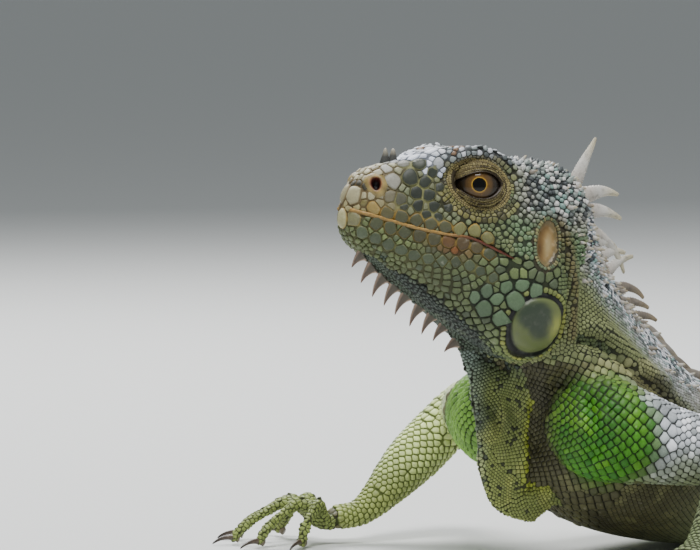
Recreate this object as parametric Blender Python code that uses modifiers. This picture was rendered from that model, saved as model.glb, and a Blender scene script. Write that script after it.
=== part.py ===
"""Green iguana, life size, resting on its belly with the head and neck raised.

Metres, +Z up. The animal faces -X, so its left side faces -Y. The flesh is lofted whole, in lengths that
overlap, welded by a voxel remesh and parted with thin cuts. The spines and claws are joined to what they
grow from.
"""

import math

import bmesh
import bpy
import numpy as np
from mathutils import Matrix, Vector
from mathutils.bvhtree import BVHTree
from mathutils.geometry import intersect_line_plane

GAP = 0.0003  # kept between any two pieces
VOXEL = 0.0014
FLESH_TRIANGLES = 2300
SMOOTHING_ROUNDS = 3
PART_NAME = "green_iguana"

# Head: its own axes run forward from the snout tip, to the left, and up.
SNOUT_TIP = Vector((-0.0834, 0.0100, 0.1165))
HEAD_YAW = math.radians(13)  # to the animal's right
HEAD_PITCH = math.radians(13.8)  # snout up
EYE_CENTRE = (-0.0388, 0.0118, 0.0160)
EYE_RADIUS = 0.0075
EAR_CENTRE = (-0.0628, 0.0300, 0.0020)
EAR_HALF = (0.0036, 0.0074)  # along and up
EAR_THICKNESS = 0.0012
SHIELD_CENTRE = (-0.0660, 0.0300, -0.0228)
SHIELD_HALF = (0.0086, 0.0093)
SHIELD_THICKNESS = 0.0030
EAR_PROUD, SHIELD_PROUD = -0.0004, 0.0006  # how far their middles stand out of the flesh

# One row for each head section: forward, then the left half's points as (left, up): crown, brow, cheek,
# lip, jaw and throat.
HEAD_SECTIONS = (
    (0.0000, (0, 0.0085), (0.0040, 0.0075), (0.0055, 0.0040),
     (0.0055, -0.0010), (0.0040, -0.0060), (0, -0.0078)),
    (-0.0030, (0, 0.0140), (0.0060, 0.0125), (0.0085, 0.0065),
     (0.0085, -0.0010), (0.0062, -0.0090), (0, -0.0110)),
    (-0.0080, (0, 0.0172), (0.0075, 0.0158), (0.0105, 0.0090),
     (0.0108, -0.0010), (0.0078, -0.0112), (0, -0.0135)),
    (-0.0160, (0, 0.0205), (0.0085, 0.0192), (0.0118, 0.0110),
     (0.0128, -0.0015), (0.0092, -0.0135), (0, -0.0165)),
    (-0.0250, (0, 0.0248), (0.0105, 0.0250), (0.0135, 0.0140),
     (0.0152, -0.0020), (0.0112, -0.0165), (0, -0.0200)),
    (-0.0380, (0, 0.0262), (0.0135, 0.0284), (0.0172, 0.0150),
     (0.0184, -0.0030), (0.0142, -0.0215), (0, -0.0260)),
    (-0.0500, (0, 0.0272), (0.0132, 0.0262), (0.0190, 0.0130),
     (0.0212, -0.0050), (0.0172, -0.0268), (0, -0.0310)),
    (-0.0620, (0, 0.0292), (0.0120, 0.0262), (0.0195, 0.0110),
     (0.0230, -0.0080), (0.0188, -0.0305), (0, -0.0350)),
    (-0.0720, (0, 0.0288), (0.0120, 0.0250), (0.0190, 0.0090),
     (0.0222, -0.0110), (0.0172, -0.0305), (0, -0.0350)),
    (-0.0800, (0, 0.0235), (0.0105, 0.0200), (0.0165, 0.0060),
     (0.0180, -0.0100), (0.0130, -0.0250), (0, -0.0290)),
)
MOUTH_LINE = ((0.0040, -0.0006), (-0.0400, -0.0012), (-0.0560, -0.0060), (-0.0570, -0.0500))  # forward, up

# Neck and trunk: one row for each rib, with the back's and belly's places (x, z), the midline's y, and half
# the width.
RIBS = (
    ((-0.0100, 0.1245), (-0.0340, 0.0760), -0.0030, 0.0180),
    ((0.0045, 0.1195), (-0.0270, 0.0640), -0.0030, 0.0200),
    ((0.0108, 0.1020), (-0.0205, 0.0530), -0.0025, 0.0208),
    ((0.0225, 0.0870), (-0.0170, 0.0400), -0.0015, 0.0238),
    ((0.0392, 0.0715), (-0.0130, 0.0260), 0.0000, 0.0275),
    ((0.0590, 0.0560), (0.0080, 0.0110), 0.0000, 0.0315),
    ((0.0820, 0.0530), (0.0440, 0.0020), 0.0000, 0.0345),
    ((0.1100, 0.0575), (0.0850, -0.0008), 0.0000, 0.0395),
    ((0.1400, 0.0600), (0.1250, -0.0010), 0.0000, 0.0420),
    ((0.1700, 0.0570), (0.1650, -0.0010), 0.0000, 0.0395),
    ((0.1980, 0.0500), (0.1980, -0.0008), 0.0000, 0.0330),
    ((0.2200, 0.0450), (0.2200, -0.0004), 0.0000, 0.0265),
)
BACK_PEAK = 0.26  # how much the back narrows toward its ridge
BELLY_SPREAD = 0.14  # how much wider a rib is low down than high up

# Tail: laid on the ground in one bend to the left that opens again near the tip.
TAIL_START = Vector((0.2200, 0.0000))
TAIL_LENGTH = 0.800
TAIL_TURN = math.radians(-158)
TAIL_TURN_ENDS = 0.66  # as a share of its length
TAIL_TIP_TURN = math.radians(34)
TAIL_STEPS = 20
TAIL_CUTS = (0.2, 0.4, 0.6, 0.8)
TAIL_HALF_HEIGHTS = (0.0222, 0.0190, 0.0160, 0.0125, 0.0098, 0.0076, 0.0058, 0.0042, 0.0030, 0.0022, 0.0014)
TAIL_HALF_WIDTHS = (0.0262, 0.0195, 0.0150, 0.0112, 0.0086, 0.0066, 0.0050, 0.0037, 0.0027, 0.0020, 0.0012)
FLAT = 0.0005  # how deep the tail and toes are pressed into the ground before they are trimmed

# Throat fan: from its free front edge back to the neck. Both lines run from the chin down to the chest.
FAN_EDGE = ((-0.0790, 0.0090, 0.1020), (-0.0715, 0.0085, 0.0948), (-0.0605, 0.0070, 0.0870),
            (-0.0460, 0.0045, 0.0765), (-0.0395, 0.0030, 0.0650), (-0.0368, 0.0015, 0.0540),
            (-0.0360, 0.0005, 0.0415), (-0.0345, 0.0000, 0.0290), (-0.0280, 0.0000, 0.0180),
            (-0.0130, 0.0000, 0.0125))
FAN_ROOT = ((-0.0700, 0.0070, 0.1050), (-0.0560, 0.0045, 0.1010), (-0.0420, 0.0010, 0.0940),
            (-0.0260, -0.0020, 0.0835), (-0.0190, -0.0020, 0.0740), (-0.0130, -0.0010, 0.0600),
            (-0.0080, 0.0000, 0.0480), (-0.0040, 0.0000, 0.0400), (0.0020, 0.0000, 0.0320),
            (0.0080, 0.0000, 0.0280))
# The fan's half thickness from its free edge to its root, as (share of the way, half thickness).
FAN_HALVES = ((0.0, 0.00095), (0.06, 0.0019), (0.5, 0.0042), (1.0, 0.0080))
FAN_MARGIN = 0.0012  # flesh around the loft that still counts as the fan

# Limbs: joints from the middle of the body out, then what the tubes need.
FORELEGS = {
    "left": {"joints": ((-0.0040, -0.0120, 0.0450), (-0.0050, -0.0240, 0.0450), (0.0170, -0.0365, 0.0385),
                        (0.0385, -0.0480, 0.0340), (0.0210, -0.0560, 0.0230), (0.0030, -0.0620, 0.0105),
                        (-0.0070, -0.0655, 0.0070)),
             "heading": math.radians(200), "side": 1, "arch": 0.0085},
    "right": {"joints": ((-0.0040, 0.0120, 0.0450), (-0.0040, 0.0260, 0.0450), (0.0060, 0.0470, 0.0440),
                         (0.0150, 0.0660, 0.0420), (-0.0020, 0.0720, 0.0260), (-0.0180, 0.0760, 0.0110),
                         (-0.0270, 0.0805, 0.0085)),
              "heading": math.radians(150), "side": -1, "arch": 0.0140},
}
FORELEG_RADII = ((0.0120, 0.0130), (0.0150, 0.0170), (0.0112, 0.0125), (0.0088, 0.0095), (0.0090, 0.0088),
                 (0.0056, 0.0050), (0.0070, 0.0042))  # across and upright
HINDLEGS = {
    "left": {"joints": ((0.2020, -0.0160, 0.0270), (0.1930, -0.0330, 0.0300), (0.1730, -0.0600, 0.0370),
                        (0.1500, -0.0850, 0.0400), (0.1820, -0.1020, 0.0260), (0.2140, -0.1160, 0.0120),
                        (0.2010, -0.1280, 0.0070)),
             "heading": math.radians(208), "side": 1, "arch": 0.0080},
    "right": {"joints": ((0.2020, 0.0160, 0.0270), (0.1950, 0.0330, 0.0300), (0.1800, 0.0610, 0.0370),
                         (0.1600, 0.0880, 0.0400), (0.1950, 0.1020, 0.0260), (0.2300, 0.1120, 0.0120),
                         (0.2190, 0.1260, 0.0070)),
              "heading": math.radians(146), "side": -1, "arch": 0.0080},
}
HINDLEG_RADII = ((0.0150, 0.0170), (0.0175, 0.0185), (0.0150, 0.0160), (0.0105, 0.0112), (0.0108, 0.0112),
                 (0.0068, 0.0066), (0.0090, 0.0050))
LIMB_MARGINS = (0.0018, 0.0012)  # flesh around a tube that is still limb: at its root, and more per joint
# Digits from the inner to the outer: how far each turns out from the heading, and its length.
FINGERS = ((-48, 0.0155), (-22, 0.0240), (0, 0.0285), (21, 0.0275), (50, 0.0190))
TOES = ((-34, 0.0180), (-16, 0.0290), (0, 0.0400), (17, 0.0510), (62, 0.0310))
DIGIT_RADIUS = 0.0028
DIGIT_TIP_RADIUS = 0.0019
CLAW_LENGTH = 0.0068
CLAW_SINK = 0.0022
CLAW_HALF = (0.0014, 0.00112)  # upright and across
CLAW_TIP_HALF = (0.0003, 0.0003)

# Spines of the back. The first ones, on the nape, as (place along the back from the first rib, length, lean
# back in degrees, bend in degrees).
NAPE_SPINES = ((0.0125, 0.0185, 3, -4), (0.0182, 0.0175, -4, 44), (0.0236, 0.0175, -2, 44),
               (0.0290, 0.0240, 24, 62), (0.0345, 0.0125, -8, 80), (0.0404, 0.0135, -8, 66),
               (0.0465, 0.0140, -6, 44), (0.0531, 0.0150, 18, 72), (0.0597, 0.0125, 32, 45),
               (0.0663, 0.0115, 36, 40))
CREST_OWNERS = (("neck", 7), ("chest", 24), ("belly", 35))  # the number of the last spine on each
BACK_SPACING = 0.0082
BACK_SPINE_LENGTH = 0.0115  # just behind the nape
RUMP_SPINE_LENGTH = 0.0050
TAIL_SPINES_END = 0.06  # along the tail
BACK_SPINE_LEANS = (62, 38)  # degrees back, behind the nape and at the rump
BACK_SPINE_BEND = 34
SPINE_BASE_HALF = (0.0026, 0.0015)  # along and across
SPINE_TIP_HALF = (0.0006, 0.0004)
SPINE_SINK = 0.0022
# Teeth of the throat fan, as (place along its edge, length).
FAN_SPIKES = ((0.0018, 0.0034), (0.0076, 0.0044), (0.0132, 0.0052), (0.0184, 0.0052), (0.0236, 0.0054),
              (0.0300, 0.0056), (0.0354, 0.0054), (0.0408, 0.0046), (0.0474, 0.0036))
FAN_SPIKE_BASE_HALF = (0.0025, 0.0010)
FAN_SPIKE_TIP_HALF = (0.0004, 0.0003)
FAN_SPIKE_SINK = 0.0015
FAN_SPIKE_SLANT = -0.15  # how far each points down the edge for every part that it points out
FAN_SPIKE_BEND = 30
SNOUT_HORNS = ((-0.0080, 0.0044), (-0.0107, 0.0038))  # forward, length
SNOUT_HORN_HALF = (0.0013, 0.0012)
SNOUT_HORN_TIP_HALF = (0.0003, 0.0003)
SNOUT_HORN_SINK = 0.0010
SNOUT_HORN_BEND = 8
CLAW_RISE = 0.34
CLAW_BEND = -58

# Cuts that part the flesh. A foot is where a cut starts below, and a half is how far it reaches to each side.
HEAD_END = -0.0785  # forward of the snout tip
MOUTH_CUT_HALF = 0.040
NECK_CUT_HALF = 0.045
NECK_CUT_FOOT = Vector((-0.0440, 0, 0.0460))
WAIST_CUT_FOOT, WAIST_CUT_HALF = Vector((0.1450, 0, -0.0100)), 0.060
TAIL_ROOT_CUT_FOOT, TAIL_ROOT_CUT_HALF = Vector((0.2330, 0, -0.0100)), 0.040
TAIL_CUT_HALF, TAIL_CUT_HEIGHT = 0.032, 0.060
JOINT_CUT_HALF, JOINT_CUT_OUTWARD = 0.017, 0.014
WRIST_CUT_INWARD, ANKLE_CUT_INWARD = 0.014, 0.022
SPINE_CLEARANCE = 0.0045, 0.0220  # a cut's top runs between two spines from this far below to this far above
GROUND_BLOCK = ((0.15, -0.15, -0.05), (1.2, 1.2, 0.1))  # place, size

MATERIALS = {  # base colour, roughness
    "scaled_skin": ((0.20, 0.24, 0.13, 1), 0.62),
    "eyeball": ((0.30, 0.16, 0.05, 1), 0.12),
    "eardrum": ((0.42, 0.30, 0.16, 1), 0.35),
    "cheek_shield": ((0.32, 0.36, 0.20, 1), 0.40),
}
ORGAN_SLOTS = {"eye": "eyeball", "ear": "eardrum", "cheek": "cheek_shield"}  # by the first word of the name


def clear_scene():
    for obj in list(bpy.data.objects):
        bpy.data.objects.remove(obj)


def new_collection(name):
    made = bpy.data.collections.new(name)
    bpy.context.scene.collection.children.link(made)
    return made


def move_to(obj, collection):
    for holder in list(obj.users_collection):
        holder.objects.unlink(obj)
    collection.objects.link(obj)


def new_material(name, colour, roughness):
    made = bpy.data.materials.new(name)
    made.use_nodes = True
    shader = made.node_tree.nodes["Principled BSDF"]
    shader.inputs["Base Color"].default_value = colour
    shader.inputs["Roughness"].default_value = roughness
    made.diffuse_color = colour
    return made


def smooth_rows(rows, steps):
    """A curve through every row of numbers, with this many points to a span (Catmull-Rom)."""
    rows = np.array(rows, float)
    padded = np.vstack([2 * rows[0] - rows[1], rows, 2 * rows[-1] - rows[-2]])
    found = []
    for i in range(len(rows) - 1):
        a, b, c, d = padded[i : i + 4]
        for k in range(steps):
            t = k / steps
            bend, twist = 2 * a - 5 * b + 4 * c - d, 3 * b - a - 3 * c + d
            found.append(0.5 * (2 * b + (c - a) * t + bend * t**2 + twist * t**3))
    found.append(rows[-1])
    return np.array(found)


def mesh_object(name, rings, collection):
    """A closed solid whose skin passes through rings of as many points each."""
    rings = np.array(rings, float)
    count, sides = rings.shape[:2]
    points = [tuple(p) for p in rings.reshape(-1, 3)]
    faces = [list(range(sides)), list(range((count - 1) * sides, count * sides))]
    for i in range(count - 1):
        for k in range(sides):
            n = (k + 1) % sides
            faces.append((i * sides + k, i * sides + n, (i + 1) * sides + n))
            faces.append((i * sides + k, (i + 1) * sides + n, (i + 1) * sides + k))
    mesh = bpy.data.meshes.new(name)
    mesh.from_pydata(points, [], faces)
    shape = bmesh.new()
    shape.from_mesh(mesh)
    bmesh.ops.recalc_face_normals(shape, faces=shape.faces)
    shape.to_mesh(mesh)
    shape.free()
    made = bpy.data.objects.new(name, mesh)
    collection.objects.link(made)
    return made


def tube_rings(path, radii, sides, steps):
    """Rings of an oval tube along a path. radii are (across, upright)."""
    points, sizes = smooth_rows(path, steps), smooth_rows(radii, steps)
    rings = []
    for i, point in enumerate(points):
        along = Vector(points[min(i + 1, len(points) - 1)] - points[max(i - 1, 0)]).normalized()
        across = along.cross(Vector((0, 0, 1))).normalized()
        top = across.cross(along)
        ring = []
        for k in range(sides):
            turn = math.tau * k / sides
            reach = across * math.cos(turn) * sizes[i][0] + top * math.sin(turn) * sizes[i][1]
            ring.append(Vector(point) + reach)
        rings.append(ring)
    return rings


def lengthened(rings, reach):
    """The same rings with the two at the ends moved outward."""
    for end, into in ((0, 1), (-1, -2)):
        past = Vector(np.mean(rings[end], axis=0) - np.mean(rings[into], axis=0)).normalized() * reach
        rings[end] = [point + past for point in rings[end]]
    return rings


def rounded_tube(name, path, radii, collection, sides, steps):
    """A tube whose ends close to a small cap, so that they are round."""
    rings = tube_rings(path, radii, sides, steps)
    for end, into in ((0, 1), (-1, -2)):
        middle = Vector(np.mean(rings[end], axis=0))
        past = (middle - Vector(np.mean(rings[into], axis=0))).normalized() * radii[end][0] * 0.55
        cap = [middle + past + (Vector(p) - middle) * 0.45 for p in rings[end]]
        rings = [cap, *rings] if end == 0 else [*rings, cap]
    return mesh_object(name, rings, collection)


# Head ---------------------------------------------------------------------------------------------------


def head_matrix():
    turn = Matrix.Rotation(math.pi - HEAD_YAW, 4, "Z") @ Matrix.Rotation(-HEAD_PITCH, 4, "Y")
    return Matrix.Translation(SNOUT_TIP) @ turn


def head_point(forward, left, up):
    return head_matrix() @ Vector((forward, left, up))


def head_flesh(collection):
    rows = []
    for forward, *half in HEAD_SECTIONS:
        mirrored = [(-left, up) for left, up in reversed(half[1:-1])]
        rows.append([(forward, left, up) for left, up in [*half, *mirrored]])
    lengthwise = smooth_rows(np.array(rows).reshape(len(rows), -1), 3).reshape(-1, 10, 3)
    rings = []
    for section in lengthwise:
        closed = np.vstack([section[-1], section, section[:2]])
        around = smooth_rows(closed, 3)[3:-3][:-3]
        rings.append([head_point(*point) for point in around])
    first = np.array([tuple(p) for p in rings[0]])
    centre = first.mean(0)
    ahead = head_point(0.0012, 0, 0) - head_point(0, 0, 0)
    nose = [Vector(centre + (p - centre) * 0.6) + ahead for p in first]
    return mesh_object("head_flesh", [nose, *rings], collection)


# Neck, trunk and tail -----------------------------------------------------------------------------------


def tail_places():
    """(place on the ground, heading, share of the length) at each step along the tail."""
    place = TAIL_START.copy()
    found = []
    for i in range(TAIL_STEPS + 1):
        share = i / TAIL_STEPS
        bend = min(share / TAIL_TURN_ENDS, 1)
        opening = max((share - TAIL_TURN_ENDS) / (1 - TAIL_TURN_ENDS), 0)
        heading = TAIL_TURN * bend * bend * (3 - 2 * bend) + TAIL_TIP_TURN * opening**1.5
        found.append((place.copy(), heading, share))
        place += Vector((math.cos(heading), math.sin(heading))) * TAIL_LENGTH / TAIL_STEPS
    return found


def body_frames():
    """Each section of neck, trunk and tail as (centre, up, across, half height, half width)."""
    frames = []
    for back, belly, y, half_width in RIBS:
        top, low = Vector((back[0], y, back[1])), Vector((belly[0], y, belly[1]))
        half_height = (top - low).length / 2
        frames.append(((top + low) / 2, (top - low).normalized(), Vector((0, 1, 0)), half_height, half_width))
    shares = np.linspace(0, 1, len(TAIL_HALF_HEIGHTS))
    for place, heading, share in tail_places()[1:]:
        high = float(np.interp(share, shares, TAIL_HALF_HEIGHTS))
        wide = float(np.interp(share, shares, TAIL_HALF_WIDTHS))
        across = Vector((-math.sin(heading), math.cos(heading), 0))
        frames.append((Vector((place.x, place.y, high - FLAT)), Vector((0, 0, 1)), across, high, wide))
    return frames


def body_flesh(collection):
    rows = [[*centre, *up, *across, high, wide] for centre, up, across, high, wide in body_frames()]
    rings = []
    for row in smooth_rows(rows, 3):
        centre, up, across, high, wide = Vector(row[:3]), Vector(row[3:6]), Vector(row[6:9]), row[9], row[10]
        ring = []
        for k in range(24):
            turn = math.tau * k / 24
            peak = BACK_PEAK * max(math.sin(turn), 0) ** 2
            reach = wide * math.cos(turn) * (1 - BELLY_SPREAD * math.sin(turn) - peak)
            ring.append(centre + up * high * math.sin(turn) + across * reach)
        rings.append(ring)
    return mesh_object("body_flesh", rings, collection)


def crest():
    """Where each spine of the back stands: (root, way to the left, direction, length, bend)."""
    rows = [[*(centre + up * high), *up] for centre, up, across, high, wide in body_frames()]
    fine = smooth_rows(rows, 12)
    along = np.concatenate([[0], np.cumsum(np.linalg.norm(np.diff(fine[:, :3], axis=0), axis=1))])
    end = along[-1] - TAIL_LENGTH * (1 - TAIL_SPINES_END)
    start = place = NAPE_SPINES[0][0]
    found = []
    while place < end:
        row = np.array([np.interp(place, along, fine[:, i]) for i in range(6)])
        ahead = np.array([np.interp(place + 0.002, along, fine[:, i]) for i in range(3)])
        tangent = Vector(ahead - row[:3]).normalized()
        left = tangent.cross(Vector(row[3:])).normalized()
        if len(found) < len(NAPE_SPINES):
            _, length, lean, bend = NAPE_SPINES[len(found)]
        else:
            share = (place - start) / (end - start)
            length = BACK_SPINE_LENGTH + (RUMP_SPINE_LENGTH - BACK_SPINE_LENGTH) * share
            lean = BACK_SPINE_LEANS[0] + (BACK_SPINE_LEANS[1] - BACK_SPINE_LEANS[0]) * share
            bend = BACK_SPINE_BEND
        direction = Matrix.Rotation(math.radians(-lean), 3, left) @ left.cross(tangent).normalized()
        found.append((Vector(row[:3]), left, direction, length, bend))
        place = NAPE_SPINES[len(found)][0] if len(found) < len(NAPE_SPINES) else place + BACK_SPACING
    return found


def crest_gap(number):
    """Halfway between a spine (the first is 1) and the next, and the way that they lean there."""
    before, after = crest()[number - 1 : number + 1]
    return (before[0] + after[0]) / 2, (before[2] + after[2]).normalized()


# Throat fan ---------------------------------------------------------------------------------------------


def fan_flesh(name, collection, grow=0.0, steps=1):
    """The fan as a loft down its length: each ring is a thin leaf from the free edge to the root."""
    edge, root = smooth_rows(FAN_EDGE, steps), smooth_rows(FAN_ROOT, steps)
    rings = []
    for a, b in zip(edge, root):
        out = Vector(a - b).normalized()
        a, b = Vector(a) + out * grow, Vector(b) - out * grow
        left = [a.lerp(b, share) + Vector((0, -half - grow, 0)) for share, half in FAN_HALVES]
        right = [a.lerp(b, share) + Vector((0, half + grow, 0)) for share, half in reversed(FAN_HALVES)]
        rings.append([*left, *right])
    return mesh_object(name, lengthened(rings, grow), collection)


# Limbs --------------------------------------------------------------------------------------------------


def upper_limb_region(name, limb, radii, grow, collection):
    """What is kept as upper arm or thigh: a low dome in the flesh of the trunk, then out to the bend of the
    elbow or knee."""
    margins = [grow + start + step * i for i, (start, step) in enumerate([LIMB_MARGINS] * 3)]
    sizes = [(a + margin, b + margin) for (a, b), margin in zip(radii[1:4], margins)]
    rings = tube_rings(limb["joints"][1:4], sizes, 9, 2)
    middle = Vector(np.mean(rings[0], axis=0))
    inward = (middle - Vector(np.mean(rings[1], axis=0))).normalized() * sizes[0][0] * 0.6
    dome = [[middle + inward * reach + (p - middle) * math.sqrt(1 - reach**2) for p in rings[0]]
            for reach in (0.95, 0.62)]
    return mesh_object(name, lengthened([*dome, *rings], grow), collection)


def digit_paths(limb, digits):
    """(path, direction, length) of each digit, from inside the palm to the ground."""
    palm = Vector(limb["joints"][-1])
    found = []
    for turn, length in digits:
        heading = limb["heading"] + limb["side"] * math.radians(turn)
        direction = Vector((math.cos(heading), math.sin(heading), 0))
        knuckle = palm + direction * 0.0062
        knuckle.z = 0.0050
        path = [palm.lerp(knuckle, 0.3)]
        for share, height in ((0, 0.55), (0.30, 1.0), (0.62, 0.72), (0.86, 0.38), (1.0, 0.0)):
            point = knuckle + direction * length * share
            low = DIGIT_TIP_RADIUS - FLAT * 0.6
            point.z = low + (limb["arch"] - low) * height if share else palm.z * 0.8
            path.append(point)
        found.append((path, direction, length))
    return found


def digit_flesh(name, limb, digits, collection):
    for number, (path, _, _) in enumerate(digit_paths(limb, digits), 1):
        sizes = np.linspace(DIGIT_RADIUS, DIGIT_TIP_RADIUS, len(path))
        swell = 1 + 0.10 * np.array([(-1) ** i for i in range(len(path))])
        radii = [(r, r) for r in sizes * swell]
        radii[-1] = (DIGIT_TIP_RADIUS, DIGIT_TIP_RADIUS)
        rounded_tube(f"{name}_digit_{number}", path, radii, collection, sides=8, steps=2)


# Joining and parting ------------------------------------------------------------------------------------


def evaluated_copy(obj, name, collection):
    """The object as its modifiers leave it, as a plain mesh object. The first one is removed."""
    graph = bpy.context.evaluated_depsgraph_get()
    mesh = bpy.data.meshes.new_from_object(obj.evaluated_get(graph))
    place = obj.matrix_world.copy()
    bpy.data.objects.remove(obj)
    mesh.name = name
    made = bpy.data.objects.new(name, mesh)
    made.matrix_world = place
    collection.objects.link(made)
    return made


def boolean(obj, other, operation):
    """With one other object, or with every object of a collection at once."""
    modifier = obj.modifiers.new(operation.lower(), "BOOLEAN")
    modifier.operation = operation
    modifier.solver = "EXACT"
    if isinstance(other, bpy.types.Collection):
        modifier.operand_type = "COLLECTION"
        modifier.collection = other
    else:
        modifier.object = other


def weld_flesh(parts, collection):
    """One closed skin over all the flesh, thinned to the triangles that the solids may have."""
    shape = bmesh.new()
    for part in parts:
        shape.from_mesh(part.data)
        bpy.data.objects.remove(part)
    mesh = bpy.data.meshes.new("flesh")
    shape.to_mesh(mesh)
    shape.free()
    flesh = bpy.data.objects.new("flesh", mesh)
    collection.objects.link(flesh)
    remesh = flesh.modifiers.new("weld", "REMESH")
    remesh.mode = "VOXEL"
    remesh.voxel_size = VOXEL
    relax = flesh.modifiers.new("relax", "SMOOTH")
    relax.factor = 0.5
    relax.iterations = SMOOTHING_ROUNDS
    flesh = evaluated_copy(flesh, "flesh", collection)
    thin = flesh.modifiers.new("thin", "DECIMATE")
    thin.ratio = FLESH_TRIANGLES / (2 * len(flesh.data.polygons))
    return evaluated_copy(flesh, "flesh", collection)


def sheet_cutter(name, points, across, half_width, collection):
    """A cutter one GAP thick that follows a bent line, and reaches half_width to both sides of it."""
    points = [Vector(p) for p in points]
    across = Vector(across).normalized()
    rings = []
    for i, point in enumerate(points):
        along = (points[min(i + 1, len(points) - 1)] - points[max(i - 1, 0)]).normalized()
        thick = along.cross(across).normalized() * GAP / 2
        wide = across * half_width
        rings.append([point + wide + thick, point - wide + thick, point - wide - thick, point + wide - thick])
    return mesh_object(name, rings, collection)


def trunk_cutter(name, spine, foot, across, half_width, collection):
    """A cut from below up to the back, where it passes behind a spine and leans as the spines do."""
    top, lean = crest_gap(spine)
    below, above = SPINE_CLEARANCE
    return sheet_cutter(name, (foot, top - lean * below, top + lean * above), across, half_width, collection)


def tail_cutter(name, share, collection):
    place, heading, _ = tail_places()[round(share * TAIL_STEPS)]
    across = Vector((-math.sin(heading), math.cos(heading), 0))
    foot = Vector((place.x, place.y, -0.005))
    top = foot + Vector((0, 0, TAIL_CUT_HEIGHT))
    return sheet_cutter(name, (foot, top), across, TAIL_CUT_HALF, collection)


def joint_cutter(name, limb, joint, reach, collection):
    """A cut through a bent joint that leaves what comes before it and what comes after on its two sides."""
    before, middle, after = (Vector(p) for p in limb["joints"][joint - 1 : joint + 2])
    coming, going = (middle - before).normalized(), (after - middle).normalized()
    outward = (coming - going).normalized()
    across = outward.cross(coming + going).normalized()
    line = (middle - outward * reach, middle + outward * JOINT_CUT_OUTWARD)
    return sheet_cutter(name, line, across, JOINT_CUT_HALF, collection)


def loose_parts(obj, collection):
    """Each connected body of a mesh as its own object. Specks are dropped."""
    shape = bmesh.new()
    shape.from_mesh(obj.data)
    bodies, seen = [], set()
    for start in shape.verts:
        if start.index in seen:
            continue
        body, stack = [], [start]
        seen.add(start.index)
        while stack:
            vertex = stack.pop()
            body.append(vertex.index)
            for edge in vertex.link_edges:
                other = edge.other_vert(vertex)
                if other.index not in seen:
                    seen.add(other.index)
                    stack.append(other)
        bodies.append(set(body))
    shape.free()
    found = []
    for body in bodies:
        if len(body) < 12:
            continue
        piece = bmesh.new()
        piece.from_mesh(obj.data)
        bmesh.ops.delete(piece, geom=[v for v in piece.verts if v.index not in body], context="VERTS")
        mesh = bpy.data.meshes.new("part")
        piece.to_mesh(mesh)
        piece.free()
        made = bpy.data.objects.new("part", mesh)
        collection.objects.link(made)
        found.append(made)
    bpy.data.objects.remove(obj)
    return found


def part_flesh(flesh, guides, pieces):
    """Trims the flesh level with the ground and cuts it into the parts that a person would name."""
    cutters = new_collection("flesh_cutters")
    bpy.ops.mesh.primitive_cube_add(size=1, location=GROUND_BLOCK[0], scale=GROUND_BLOCK[1])
    ground = bpy.context.object
    ground.name = "ground"
    move_to(ground, cutters)
    head_across = head_matrix().to_3x3() @ Vector((0, 1, 0))
    sheet_cutter("mouth", [head_point(a, 0, h) for a, h in MOUTH_LINE], head_across, MOUTH_CUT_HALF, cutters)
    last = dict(CREST_OWNERS)
    trunk_cutter("neck_root", last["neck"], NECK_CUT_FOOT, head_across, NECK_CUT_HALF, cutters)
    neck_top, _ = crest_gap(last["neck"])
    high, low = head_point(HEAD_END, 0, 0.0500), head_point(HEAD_END, 0, 0)
    low = intersect_line_plane(high, low, NECK_CUT_FOOT, (neck_top - NECK_CUT_FOOT).cross(head_across))
    past = (low - high).normalized() * 4 * GAP
    sheet_cutter("nape", (low + past, high), head_across, NECK_CUT_HALF, cutters)
    trunk_cutter("waist", last["chest"], WAIST_CUT_FOOT, (0, 1, 0), WAIST_CUT_HALF, cutters)
    trunk_cutter("tail_root", last["belly"], TAIL_ROOT_CUT_FOOT, (0, 1, 0), TAIL_ROOT_CUT_HALF, cutters)
    for share in TAIL_CUTS:
        tail_cutter(f"tail_{share}", share, cutters)
    for side in ("left", "right"):
        joint_cutter(f"wrist_{side}", FORELEGS[side], 5, WRIST_CUT_INWARD, cutters)
        joint_cutter(f"ankle_{side}", HINDLEGS[side], 5, ANKLE_CUT_INWARD, cutters)
    parts = []
    for name, limbs, radii in (("upper_arm", FORELEGS, FORELEG_RADII), ("thigh", HINDLEGS, HINDLEG_RADII)):
        for side, limb in limbs.items():
            keep = upper_limb_region(f"{name}_{side}_keep", limb, radii, 0.0, guides)
            upper_limb_region(f"{name}_{side}_clear", limb, radii, GAP, cutters)
            parts.append(kept_part(f"{name}_{side}", flesh, keep, pieces))
    parts.append(kept_part("throat_fan", flesh, fan_flesh("throat_fan_keep", guides, FAN_MARGIN), pieces))
    fan_flesh("throat_fan_clear", cutters, FAN_MARGIN + GAP)
    boolean(flesh, cutters, "DIFFERENCE")
    others = loose_parts(evaluated_copy(flesh, "flesh", pieces), pieces)
    name_parts(others)
    return parts + others


def kept_part(name, flesh, region, collection):
    """The flesh inside a region, where it lies above the ground."""
    part = bpy.data.objects.new(name, flesh.data.copy())
    collection.objects.link(part)
    boolean(part, region, "INTERSECT")
    return evaluated_copy(part, name, collection)


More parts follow.
